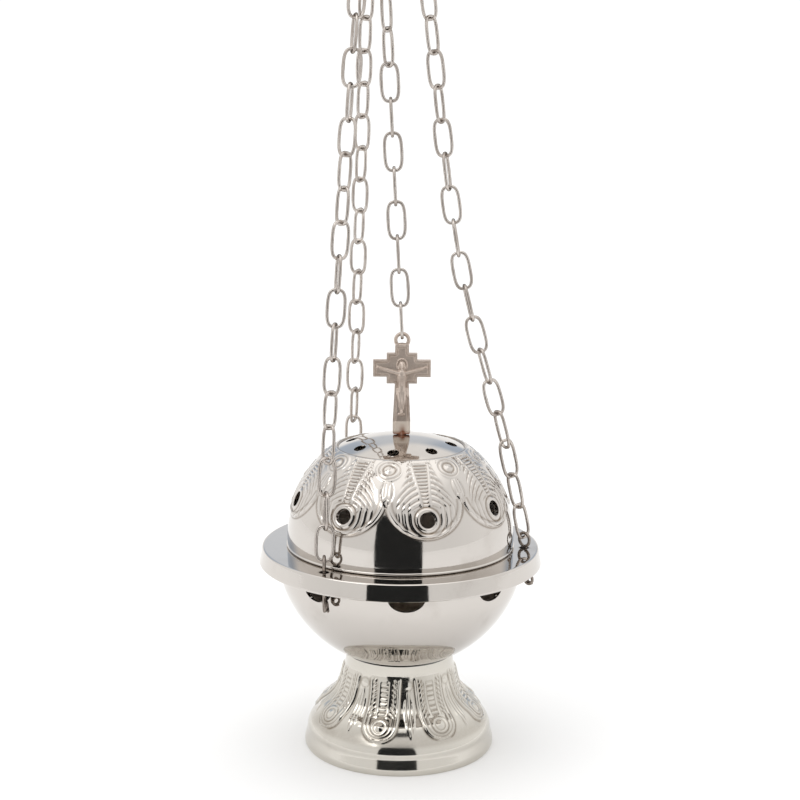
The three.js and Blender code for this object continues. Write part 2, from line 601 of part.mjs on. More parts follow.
// A run of links through a list of joint points. The reach of a link past its joint points is
// half the wire at a joint inside the run, and what the ends ask for at its first and last point.
function linkRun(joints, outward, rolls, startReach, endReach) {
  const inner = WIRE_RADIUS - LINK_BITE / 2;
  const links = joints.slice(1).map((to, i) => {
    const from = joints[i];
    const reachBack = i === 0 ? startReach : inner;
    const reachOn = i === joints.length - 2 ? endReach : inner;
    const along = to.clone().sub(from);
    const length = along.length() + reachBack + reachOn;
    along.normalize();
    const side = along.clone().cross(outward).normalize();
    const out = side.clone().cross(along);
    const roll = radians(rolls[i]);
    const width = out.multiplyScalar(Math.cos(roll)).addScaledVector(side, Math.sin(roll));
    const centre = from.clone().add(to).multiplyScalar(0.5).addScaledVector(along, (reachOn - reachBack) / 2);
    const frame = new THREE.Matrix4().makeBasis(width, along.clone().cross(width), along);
    return link(length).applyMatrix4(frame.setPosition(centre));
  });
  return joined(links);
}

// Outer chains, each a lower run beside the lid and an upper run to the canopy
function chainLine({ azimuth, kneeBulge, midBulge, roll, twist }) {
  const outward = around(azimuth, 1, 0);
  const foot = around(azimuth, PIN_RADIUS, PIN_HANG_Z);
  const head = around(azimuth, CANOPY_PIN_RADIUS, CANOPY_Z - PIN_HANG_Z);
  head.x += CANOPY_LEAN;
  const bulged = (share, bulge) => foot.clone().lerp(head, share).addScaledVector(outward, bulge);
  const curve = new THREE.CatmullRomCurve3([foot, bulged(KNEE_SHARE, kneeBulge), bulged(MID_SHARE, midBulge), head]);
  const linkCount = Math.round(curve.getLength() / (LINK_LENGTH - 2 * WIRE));
  const twistStep = 90 + twist / linkCount;
  const rolls = Array.from({ length: linkCount }, (_, i) => roll + twistStep * i);
  return { joints: curve.getSpacedPoints(linkCount), foot, head, outward, rolls };
}

function addChain(chain) {
  const { joints, foot, head, outward, rolls } = chainLine(chain);
  const kneeReach = WIRE_RADIUS + chain.kneeSlack / 2;
  const lower = joints.slice(0, LOWER_RUN_LINKS + 1);
  const upper = joints.slice(LOWER_RUN_LINKS);
  const lowerRun = linkRun(lower, outward, rolls.slice(0, LOWER_RUN_LINKS), 0, kneeReach);
  const upperRun = linkRun(upper, outward, rolls.slice(LOWER_RUN_LINKS), kneeReach, 0);
  addPiece(`chain_${chain.name}_lower`, lowerRun.translate(-foot.x, -foot.y, -foot.z), 'chain', foot);
  addPiece(`chain_${chain.name}_upper`, upperRun.translate(-head.x, -head.y, -head.z), 'chain', head);
}

// Each fastener is turned so that its eye stands across the chain's end link
function addFasteners(chain) {
  const { name, azimuth, roll } = chain;
  const seat = around(azimuth, PIN_RADIUS, 0);
  addPiece(`lower_pin_${name}`, lowerFastener(), 'chain', seat, azimuth + roll);
  const place = around(azimuth, CANOPY_PIN_RADIUS, CANOPY_Z);
  place.x += CANOPY_LEAN;
  addPiece(`upper_pin_${name}`, upperFastener(), 'chain', place, azimuth + chainLine(chain).rolls.at(-1));
}

// Lifting chain, from the cross's lug through the canopy to the lifting ring
function liftChainEnds() {
  const lugTop = CROSS_FOOT_Z + CROSS_HEIGHT + LUG_RISE + LUG_HOLE_RADIUS;
  const ringZ = CANOPY_TOP_Z + SEAT_GAP + LIFT_RING_WIRE / 2;
  const foot = new THREE.Vector3(0, 0, lugTop - CONTACT_GAP - WIRE_RADIUS);
  const head = new THREE.Vector3(CANOPY_LEAN, 0, ringZ + LIFT_RING_WIRE / 2 + CONTACT_GAP + WIRE_RADIUS);
  return { foot, head, ringZ };
}

function addLiftChain() {
  const { foot, head } = liftChainEnds();
  const linkCount = Math.round(foot.distanceTo(head) / (LINK_LENGTH - 2 * WIRE));
  const joints = Array.from({ length: linkCount + 1 }, (_, i) => foot.clone().lerp(head, i / linkCount));
  const rolls = Array.from({ length: linkCount }, (_, i) => {
    const twisted = Math.max(0, i + 1 + LIFT_TWIST_LINKS - linkCount);
    return 90 * i + (LIFT_CHAIN_TWIST * twisted) / LIFT_TWIST_LINKS;
  });
  const run = linkRun(joints, new THREE.Vector3(0, -1, 0), rolls, 0, 0);
  addPiece('lifting_chain', run.translate(-foot.x, -foot.y, -foot.z), 'chain', foot);
}

function addLiftingRing() {
  const { head, ringZ } = liftChainEnds();
  const path = new THREE.Path().absarc(-LIFT_RING_RADIUS, 0, LIFT_RING_RADIUS, 0, 2 * Math.PI, false);
  const ring = bentWire(path.getPoints(12).slice(1), LIFT_RING_WIRE / 2, true, 6).rotateX(Math.PI / 2);
  addPiece('lifting_ring', ring, 'chain', new THREE.Vector3(head.x, 0, ringZ));
}

// Canopy: a shallow cap with a skirt, a hole for the lifting chain and two upright ears
function canopy() {
  const holeRadius = LINK_WIDTH / 2 + liftChainSway() + RUN_GAP;
  const plate = turned([
    [holeRadius, CANOPY_Z],
    [CANOPY_RADIUS - CANOPY_PLATE, CANOPY_Z],
    [CANOPY_RADIUS - CANOPY_PLATE, CANOPY_Z - CANOPY_SKIRT],
    [CANOPY_RADIUS, CANOPY_Z - CANOPY_SKIRT],
    [CANOPY_RADIUS, CANOPY_TOP_Z - CANOPY_EDGE],
    [CANOPY_RADIUS - CANOPY_EDGE, CANOPY_TOP_Z],
    [holeRadius, CANOPY_TOP_Z],
  ]);
  const pinHoles = CHAINS.map(({ azimuth }) => {
    const centre = around(azimuth, CANOPY_PIN_RADIUS, CANOPY_Z - CANOPY_PLATE);
    return upright(PIN_HOLE_RADIUS, 3 * CANOPY_PLATE, 0).translate(centre.x, centre.y, centre.z);
  });
  const pierced = cutBy(plate, pinHoles);
  return joined([pierced, ear(1), ear(-1)]);
}

// How far the lifting chain moves sideways in the canopy's hole as the lid rises
function liftChainSway() {
  const { foot, head } = liftChainEnds();
  return Math.abs(CANOPY_LEAN) * (LID_LIFT / (head.z - foot.z));
}

function earMiddle() {
  return CANOPY_RADIUS - EAR_INSET - EAR_THICKNESS / 2;
}

function swingZ() {
  return CANOPY_TOP_Z + EAR_HEIGHT - EAR_WIDTH / 2;
}

function ear(sideSign) {
  const base = CANOPY_TOP_Z - CANOPY_PLATE / 2;
  const outline = new THREE.Shape()
    .moveTo(-EAR_WIDTH / 2, base)
    .lineTo(EAR_WIDTH / 2, base)
    .lineTo(EAR_WIDTH / 2, swingZ())
    .absarc(0, swingZ(), EAR_WIDTH / 2, 0, Math.PI, false);
  const hole = new THREE.Path().absarc(0, swingZ(), BAIL_WIRE / 2 + RUN_GAP, 0, 2 * Math.PI, true);
  outline.holes.push(hole);
  return new THREE.ExtrudeGeometry(outline, { depth: EAR_THICKNESS, bevelEnabled: false, curveSegments: 5 })
    .rotateX(Math.PI / 2)
    .translate(0, EAR_THICKNESS / 2 + sideSign * earMiddle(), 0);
}

// Bail: an arch of wire whose ends turn inwards through the ears of the canopy
function bailLegY() {
  return earMiddle() + EAR_THICKNESS / 2 + BAIL_SIDE_GAP + BAIL_WIRE / 2;
}

// Height of the middle of the bail's crown above its pivots
function bailRise() {
  const ringTop = CANOPY_TOP_Z + LID_LIFT + 2 * LIFT_RING_RADIUS + 2 * LIFT_RING_WIRE;
  return ringTop + BAIL_HEADROOM + BAIL_WIRE / 2 - swingZ();
}

function bail() {
  const legY = bailLegY();
  const tipY = earMiddle() - EAR_THICKNESS / 2 - BAIL_WIRE / 2;
  const path = new THREE.Path().moveTo(-tipY, 0).lineTo(-legY, 0);
  path.absarc(0, bailRise() - legY, legY, Math.PI, 0, true);
  path.lineTo(legY, 0).lineTo(tipY, 0);
  return bentWire(path.getPoints(6), BAIL_WIRE / 2, false, 8).rotateZ(Math.PI / 2);
}

// The assembly, from the foot up
addPiece('foot', foot(), 'nickel');
footFixing();
addPiece('bowl', bowl(), 'nickel');
addPiece('charcoal_cup', charcoalCup(), 'brass');
addPiece('rim_ring', rimRing(), 'nickel');
addPiece('lid', lid(), 'nickel');
addPiece('cross', cross(), 'cast');
crossFixing();
CHAINS.forEach(addFasteners);
CHAINS.forEach(addChain);
addLiftChain();
addLiftingRing();
addPiece('canopy', canopy(), 'nickel', new THREE.Vector3(CANOPY_LEAN, 0, 0));
addPiece('bail', bail(), 'nickel', new THREE.Vector3(CANOPY_LEAN, 0, swingZ()));

// The origin is the underside of the bail's crown, where a hand or hook holds the censer
model.position.set(-CANOPY_LEAN, 0, -(swingZ() + bailRise() - BAIL_WIRE / 2));

export default model;
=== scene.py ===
import math

import bpy
import numpy as np
from mathutils import Matrix, Vector


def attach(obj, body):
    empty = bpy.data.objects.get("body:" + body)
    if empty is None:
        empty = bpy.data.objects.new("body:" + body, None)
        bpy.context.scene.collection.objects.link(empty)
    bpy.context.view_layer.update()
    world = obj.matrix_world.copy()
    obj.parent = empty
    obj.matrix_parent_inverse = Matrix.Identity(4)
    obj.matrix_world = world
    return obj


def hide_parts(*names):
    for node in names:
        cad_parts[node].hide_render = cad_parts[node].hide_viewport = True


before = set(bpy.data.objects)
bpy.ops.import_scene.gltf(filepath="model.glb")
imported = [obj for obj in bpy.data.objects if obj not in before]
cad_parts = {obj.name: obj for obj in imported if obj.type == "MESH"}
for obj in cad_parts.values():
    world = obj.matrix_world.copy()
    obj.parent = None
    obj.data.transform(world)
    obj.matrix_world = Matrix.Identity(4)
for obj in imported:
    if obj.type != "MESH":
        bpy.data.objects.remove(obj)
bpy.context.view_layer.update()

# Lengths below are in millimetres, with heights from the top of the rim ring
RIM_TOP = np.array([8.0, 0.0, -267.9])
SHEET = 1.2
SEAT_GAP = 0.3
CONTACT_GAP = 0.35
BOWL_GAP = 0.45
WIRE_RADIUS = 0.6
WIRE_SIDES = 14
MOUTH_RADIUS = 46.6
BOWL_RADIUS = 49.0
BOWL_CENTRE_Z = 1.0
LID_RADIUS = 44.3
LID_CENTRE_Z = 3.0
CAP_RADIUS = 24.6
CAP_CURVE = 65.0
CAP_CENTRE_Z = -21.12
CAP_TOP_Z = 43.88
CAP_SAG = 0.25
FLOOR_Z = -81.4
PIN_AZIMUTHS = (-35.5, 84.5, -155.5)
PIN_RADIUS = 48.5
PIN_HOLE_RADIUS = 1.88
CANOPY_X = -8.0
CANOPY_SHIFT = np.array([CANOPY_X, 0, 0])
CANOPY_Z = 218.5
CANOPY_TOP_Z = 219.9
CANOPY_RADIUS = 23.0
CANOPY_PIN_RADIUS = 15.8
EAR_Y = 19.5
SWING_Z = 225.4
BAIL_RADIUS = 1.3
BAIL_LEG_Y = 22.4
BAIL_TOP_Z = 2.61 - RIM_TOP[2]


def unit(vector):
    return vector / np.linalg.norm(vector, axis=-1, keepdims=True)


def around(azimuth, radius, z=0.0):
    angle = math.radians(azimuth)
    return np.array([radius * math.sin(angle), -radius * math.cos(angle), z])


def smooth(low, high, value):
    share = np.clip((value - low) / (high - low), 0, 1)
    return share * share * (3 - 2 * share)


def fade(low, high, value):
    return 1 - smooth(low, high, value)


def ridge(value, width):
    return np.exp(-((value / width) ** 2))


def waves(value, pitch):
    return np.cos(2 * math.pi * value / pitch)


# Profiles of (radius, height)


def rounded(corners, closed=False, steps=6):
    """A line through corners of (radius, height, cut), each corner rounded from that far before it."""
    count = len(corners)
    line = []
    for i, (radius, z, cut) in enumerate(corners):
        here = np.array([radius, z], float)
        if cut == 0 or (not closed and i in (0, count - 1)):
            line.append(here)
            continue
        before = np.array(corners[i - 1][:2]) - here
        after = np.array(corners[(i + 1) % count][:2]) - here
        start = here + before * min(cut / np.linalg.norm(before), 0.49)
        end = here + after * min(cut / np.linalg.norm(after), 0.49)
        for t in np.linspace(0, 1, steps):
            line.append((1 - t) ** 2 * start + 2 * t * (1 - t) * here + t * t * end)
    return np.array(line)


def lengths(line):
    """The length along the line at each of its points."""
    return np.concatenate([[0], np.cumsum(np.linalg.norm(np.diff(line, axis=0), axis=1))])


def read_along(line, marks, at):
    """Points between the line's own, found by the marks that those have."""
    return np.stack([np.interp(at, marks, line[:, k]) for k in range(line.shape[1])], 1)


def resampled(line, spacing, closed=False):
    if closed:
        return resampled(np.vstack([line, line[:1]]), spacing)[:-1]
    reach = lengths(line)
    return read_along(line, reach, np.linspace(0, reach[-1], max(2, int(round(reach[-1] / spacing)) + 1)))


def arc_line(centre_z, radius, start, end, steps):
    angle = np.radians(np.linspace(start, end, steps))
    return np.stack([radius * np.cos(angle), centre_z + radius * np.sin(angle)], 1)


def spline(points, steps):
    """A smooth line through the points, by uniform Catmull-Rom."""
    p = np.array(points, float)
    p = np.vstack([2 * p[0] - p[1], p, 2 * p[-1] - p[-2]])
    line = []
    for i in range(1, len(p) - 2):
        for t in np.linspace(0, 1, steps, endpoint=False):
            line.append(0.5 * (2 * p[i] + (p[i + 1] - p[i - 1]) * t
                               + (2 * p[i - 1] - 5 * p[i] + 4 * p[i + 1] - p[i + 2]) * t * t
                               + (3 * p[i] - p[i - 1] - 3 * p[i + 1] + p[i + 2]) * t ** 3))
    line.append(p[-2])
    return np.array(line)


# Meshes are (points, faces); faces are arrays of four corners or lists


def directions(line, closed):
    """The way from the point before to the point after, at each point of the line."""
    before, after = np.roll(line, 1, axis=0), np.roll(line, -1, axis=0)
    if not closed:
        before[0], after[-1] = line[0], line[-1]
    return after - before


def grid_faces(rows, columns, closed=False):
    """Faces between rows of points that are each a ring, and from the last row to the first if closed."""
    row = np.arange(rows if closed else rows - 1)[:, None]
    column = np.arange(columns)[None, :]
    above, beside = (row + 1) % rows, (column + 1) % columns
    return np.stack([row * columns + column, row * columns + beside,
                     above * columns + beside, above * columns + column], -1).reshape(-1, 4)


def turned(profile, columns, lift=None, closed=False):
    """A profile turned about the axis. It runs up the outside, so that the faces point out."""
    tangent = unit(directions(profile, closed) + 1e-12)
    azimuth = np.radians(azimuths(columns))
    height = np.zeros((len(profile), columns)) if lift is None else lift
    radius = profile[:, :1] + height * tangent[:, 1:]
    z = profile[:, 1:] - height * tangent[:, :1]
    points = np.stack([radius * np.sin(azimuth), -radius * np.cos(azimuth), z + 0 * azimuth], -1)
    return points.reshape(-1, 3), grid_faces(len(profile), columns, closed)


def azimuths(columns):
    return np.arange(columns) * 360 / columns


class Hole:
    """An oval hole along an axis, with half-widths across it and a reach from its centre outwards."""

    def __init__(self, centre, axis, across, half_widths):
        self.centre = np.array(centre, float)
        self.axis = unit(np.array(axis, float))
        self.u = unit(np.array(across, float))
        self.v = np.cross(self.axis, self.u)
        self.half = half_widths

    def local(self, points):
        offset = points - self.centre
        u, v = offset @ self.u / self.half[0], offset @ self.v / self.half[1]
        return u, v, offset @ self.axis > 0

    def inside(self, points):
        u, v, ahead = self.local(points)
        return (u * u + v * v < 1) & ahead

    def snap(self, points):
        """Moves the points near the hole's edge onto it."""
        u, v, ahead = self.local(points)
        reach = np.hypot(u, v)
        near = ahead & (reach > 0.5) & (reach < 1.6)
        push = np.where(near, 1 / np.maximum(reach, 1e-6) - 1, 0)
        return points + (push * u * self.half[0])[:, None] * self.u + (push * v * self.half[1])[:, None] * self.v


def pierced(mesh, holes, depth, inward=None):
    """The mesh with the holes cut through it, and a wall as deep as depth inside each hole."""
    points, faces = mesh
    centres = points[faces].mean(axis=1)
    cut = np.zeros(len(faces), bool)
    for hole in holes:
        cut |= hole.inside(centres)
    kept = faces[~cut]
    start, end = kept.ravel(), np.roll(kept, -1, axis=1).ravel()
    count = len(points)
    lone = ~np.isin(end * count + start, start * count + end)
    touched = np.zeros(count, bool)
    touched[faces[cut].ravel()] = True
    lone &= touched[start] & touched[end]
    start, end = start[lone], end[lone]
    edge = np.unique(np.concatenate([start, end]))
    points = points.copy()
    for hole in holes:
        points[edge] = hole.snap(points[edge])
    axis = np.zeros((len(edge), 3))
    for hole in holes:
        u, v, ahead = hole.local(points[edge])
        axis[ahead & (np.hypot(u, v) < 1.3)] = hole.axis if inward is None else inward
    below = np.full(count, -1)
    below[edge] = count + np.arange(len(edge))
    walls = np.stack([end, start, below[start], below[end]], 1)
    return np.vstack([points, points[edge] - depth * axis]), np.vstack([kept, walls])


def joined(*meshes):
    points, faces, offset = [], [], 0
    for mesh_points, mesh_faces in meshes:
        points.append(np.asarray(mesh_points, float))
        faces.extend([[int(i) + offset for i in face] for face in mesh_faces])
        offset += len(mesh_points)
    return np.vstack(points), faces


END_REACH = np.array([0.25, 0.45, 0.55])
END_GIRTH = np.array([0.93, 0.72, 0.3])


def bent(path, radius=WIRE_RADIUS, loop=False, sides=WIRE_SIDES):
    """Round wire along a path of (x, z) in the XZ plane, with rounded ends unless it is a loop."""
    path = np.asarray(path, float)
    radius = np.broadcast_to(radius, len(path)).astype(float)
    if not loop:
        first, last = unit(path[1] - path[0]), unit(path[-1] - path[-2])
        path = np.vstack([path[0] - first * radius[0] * END_REACH[::-1, None], path,
                          path[-1] + last * radius[-1] * END_REACH[:, None]])
        radius = np.concatenate([radius[0] * END_GIRTH[::-1], radius, radius[-1] * END_GIRTH])
    along = unit(directions(path, loop))
    left = np.stack([-along[:, 1], along[:, 0]], 1)
    angle = np.arange(sides) * 2 * math.pi / sides
    across = radius[:, None] * np.cos(angle)
    points = np.stack([path[:, :1] + left[:, :1] * across, radius[:, None] * np.sin(angle),
                       path[:, 1:] + left[:, 1:] * across], -1)
    faces = grid_faces(len(path), sides, loop).tolist()
    if not loop:
        faces.append(list(range(sides))[::-1])
        faces.append([(len(path) - 1) * sides + k for k in range(sides)])
    return points.reshape(-1, 3), faces


def moved(mesh, basis, place):
    """The mesh with its x, y and z along the rows of basis, and its origin at place."""
    points, faces = mesh
    return points @ np.array(basis, float) + np.array(place, float), faces


def turn_z(degrees):
    c, s = math.cos(math.radians(degrees)), math.sin(math.radians(degrees))
    return np.array([[c, s, 0], [-s, c, 0], [0, 0, 1]])


def circle(centre, radius, start, end, steps):
    angle = np.radians(np.linspace(start, end, steps))
    return np.stack([centre[0] + radius * np.cos(angle), centre[1] + radius * np.sin(angle)], 1)


def full_circle(centre, radius, steps):
    return circle(centre, radius, 0, 360 - 360 / steps, steps)


def placed(name, data):
    item = bpy.data.objects.new(name, data)
    bpy.context.scene.collection.objects.link(item)
    return item


def piece(name, mesh, material, body, *nodes, crease=38, lining=None, **marks):
    """A Blender object from a mesh in millimetres, riding on a body and standing for CAD nodes.

    Its faces from number lining on are a shell's inside, and its points carry the marks.
    """
    points, faces = mesh
    data = bpy.data.meshes.new(name)
    rows = faces.tolist() if isinstance(faces, np.ndarray) else faces
    data.from_pydata(((points + RIM_TOP) / 1000).tolist(), [], rows)
    data.materials.append(material)
    if lining is not None:
        data.materials.append(shell_inside)
        data.polygons.foreach_set("material_index", (np.arange(len(rows)) >= lining).astype(np.int32))
    data.shade_smooth()
    data.set_sharp_from_angle(angle=math.radians(crease))
    for mark, values in marks.items():
        depth = np.zeros(len(data.vertices), np.float32)
        depth[: len(values)] = values
        data.attributes.new(mark, "FLOAT", "POINT").data.foreach_set("value", depth)
    data.update()
    item = placed(name, data)
    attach(item, body)
    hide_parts(*nodes)


# Materials


class Nodes:
    """A node tree, with short ways to add nodes and links. Sums are held within 0 to 1 if clamped."""

    def __init__(self, tree, clamped):
        self.tree = tree
        self.clamped = clamped

    def put(self, value, socket):
        if isinstance(value, bpy.types.NodeSocket):
            self.tree.links.new(value, socket)
        else:
            socket.default_value = value

    def add(self, kind, **inputs):
        """A new node. An underscore in an input's name stands for a space."""
        node = self.tree.nodes.new("ShaderNode" + kind)
        for name, value in inputs.items():
            self.put(value, node.inputs[name.replace("_", " ")])
        return node

    def spread(self, value, low, high, to_low, to_high):
        node = self.add("MapRange", Value=value, From_Min=low, From_Max=high, To_Min=to_low, To_Max=to_high)
        node.interpolation_type = "SMOOTHSTEP"
        return node.outputs["Result"]

    def math(self, operation, a, b):
        node = self.add("Math")
        node.operation = operation
        node.use_clamp = self.clamped and operation == "ADD"
        self.put(a, node.inputs[0])
        self.put(b, node.inputs[1])
        return node.outputs[0]

    def plus(self, a, b):
        return self.math("ADD", a, b)

    def times(self, a, b):
        return self.math("MULTIPLY", a, b)

    def mix(self, share, a, b):
        node = self.add("Mix", Factor=share)
        node.data_type = "RGBA"
        for socket, colour in ((node.inputs[6], a), (node.inputs[7], b)):
            self.put(colour if isinstance(colour, bpy.types.NodeSocket) else (*colour, 1), socket)
        return node.outputs[2]


class Shader(Nodes):
    """A material, laid out in the object's own coordinates."""

    def __init__(self, name):
        self.material = bpy.data.materials.new(name)
        self.material.use_nodes = True
        super().__init__(self.material.node_tree, True)
        self.surface = self.tree.nodes["Principled BSDF"].inputs
        self.place = self.add("TexCoord").outputs["Object"]

    def stretched(self, scale):
        return self.add("Mapping", Vector=self.place, Scale=scale).outputs["Vector"]

    def noise(self, scale, detail=4.0, roughness=0.55, place=None):
        place = self.place if place is None else place
        return self.add("TexNoise", Vector=place, Scale=scale, Detail=detail, Roughness=roughness).outputs["Fac"]

    def mark(self, name="hollow"):
        """A value that the mesh carries at its points, such as how deep in a hollow they lie."""
        node = self.add("Attribute")
        node.attribute_name = name
        return node.outputs["Fac"]

    def bump(self, height, depth, strength=1.0, normal=None):
        node = self.add("Bump", Strength=strength, Distance=depth / 1000, Height=height)
        if normal is not None:
            self.put(normal, node.inputs["Normal"])
        return node.outputs["Normal"]

    def finish(self, colour, metallic, roughness, normal):
        self.put(colour, self.surface["Base Color"])
        self.put(metallic, self.surface["Metallic"])
        self.put(roughness, self.surface["Roughness"])
        self.put(normal, self.surface["Normal"])
        return self.material


def polished(name, clean, tarnish_and_shade, roughness, haze, waviness=0.012):
    """Polished plate with a faint haze and hairline scratches, darkened in its hollows and where parts meet, partly as
    tarnished metal and partly as painted shade.
    """
    s = Shader(name)
    cloud = s.noise(55, 5)
    speck = s.noise(900, 3)
    hairs = s.noise(260, 2, place=s.stretched((1, 1, 14)))
    # the hollow mark paints a tarnished brown that is partly painted shade; the cloud adds random stains
    stain_and_shade = s.plus(s.times(s.mark(), s.spread(speck, 0.2, 0.6, 0.75, 1.0)),
                   s.spread(cloud, 0.52, 0.8, 0.0, 0.22))
    colour = s.mix(stain_and_shade, clean, tarnish_and_shade)
    rough = s.plus(s.spread(cloud, 0.35, 0.75, roughness, roughness + haze),
                   s.plus(s.times(s.mark(), 0.22), s.spread(hairs, 0.62, 0.75, 0.0, 0.05)))
    normal = s.bump(s.noise(90, 2), waviness * 6, 0.35)
    normal = s.bump(hairs, 0.004, 0.2, normal)
    return s.finish(colour, 1.0, rough, normal)


def worn(name, clean, dull, roughness, grain, share=0.5, edge=1.0):
    """Duller metal with a fine grain and patches of wear, and less shine where it turns away."""
    s = Shader(name)
    cloud = s.noise(140, 5)
    fine = s.noise(1600, 4, 0.65)
    patch = s.plus(s.spread(cloud, 0.4, 0.66, 0.0, share), s.spread(fine, 0.5, 0.75, 0.0, 0.25))
    colour = s.mix(s.plus(patch, s.times(s.mark(), 0.7)), clean, dull)
    rough = s.spread(cloud, 0.3, 0.7, roughness, roughness + 0.16)
    s.surface["Specular Tint"].default_value = (edge, edge, edge, 1)
    return s.finish(colour, 1.0, rough, s.bump(fine, grain, 0.5))


def casting(name):
    """Grey-brown casting with darker hollows, a paler patch and rust where their marks are."""
    s = Shader(name)
    cloud = s.noise(150, 5)
    fine = s.noise(1500, 4, 0.65)
    patch = s.plus(s.spread(cloud, 0.42, 0.7, 0.0, 0.35), s.spread(fine, 0.5, 0.75, 0.0, 0.3))
    colour = s.mix(s.plus(patch, s.times(s.mark(), 0.75)), (0.62, 0.53, 0.465), (0.33, 0.25, 0.20))
    pale = s.times(s.mark("pale"), s.spread(cloud, 0.3, 0.6, 0.9, 0.7))
    colour = s.mix(pale, colour, (0.66, 0.58, 0.50))
    rust = s.times(s.mark("rust"), s.spread(s.noise(650, 4, 0.6), 0.32, 0.55, 0.7, 1.0))
    colour = s.mix(rust, colour, (0.21, 0.075, 0.035))
    metallic = s.math("SUBTRACT", 0.8, s.times(s.math("MAXIMUM", rust, pale), 0.7))
    rough = s.plus(s.spread(cloud, 0.3, 0.7, 0.4, 0.56), s.times(rust, 0.3))
    return s.finish(colour, metallic, rough, s.bump(fine, 0.06, 0.5))


def unpolished(name):
    """The grey-brown inside of a spun shell, left as it came."""
    s = Shader(name)
    cloud = s.noise(120, 6, 0.65)
    fine = s.noise(1400, 4, 0.6)
    colour = s.mix(s.spread(cloud, 0.4, 0.65, 0.0, 1.0), (0.40, 0.35, 0.305), (0.68, 0.61, 0.545))
    return s.finish(colour, s.spread(cloud, 0.45, 0.65, 0.2, 0.5), s.spread(cloud, 0.3, 0.7, 0.5, 0.7),
                    s.bump(fine, 0.04, 0.6))


nickel = polished("nickel_plate", (0.62, 0.585, 0.55), (0.20, 0.155, 0.115), 0.045, 0.05)
foot_nickel = polished("nickel_foot", (0.63, 0.60, 0.545), (0.19, 0.155, 0.115), 0.07, 0.07)
chain_metal = worn("chain_wire", (0.60, 0.55, 0.51), (0.36, 0.31, 0.275), 0.2, 0.015, edge=0.05)
pin_metal = worn("pin_wire", (0.36, 0.315, 0.28), (0.13, 0.105, 0.09), 0.3, 0.03, edge=0.3)
cast_metal = casting("cast_cross")
steel = worn("plain_steel", (0.56, 0.55, 0.53), (0.30, 0.28, 0.26), 0.26, 0.02)
cup_metal = worn("cup_metal", (0.66, 0.57, 0.46), (0.40, 0.32, 0.24), 0.32, 0.03, 0.8)
shell_inside = unpolished("shell_inside")

# Lid: plate relief of eight leaves, each round a hole and with a ladder of bars, and buds between them

LEAF_POLAR = 67.2
LEAF_AZIMUTH = 14.0
SPACING = 45.0
BAND_TOP = 25.3
LEAF_WIDEST = 5.5
LEAF_HALF = 14.8
LEAF_DROP = 12.3
BUD_RISE = 19.8
DOME_ROWS = 176
OFF_DOME = -99.0
LEAF_HOLE = (3.0, 3.0)
CAP_HOLE = (2.3, 2.3)
CAP_HOLES_AZIMUTH = -9.0
CAP_HOLES_RADIUS = 19.5
INNER_EDGE = 0.02
INNER_COLUMNS = 240


def fold(azimuth, first):
    """Azimuth from the nearest of eight axes, the first of which is given."""
    return (azimuth - first + SPACING / 2) % SPACING - SPACING / 2


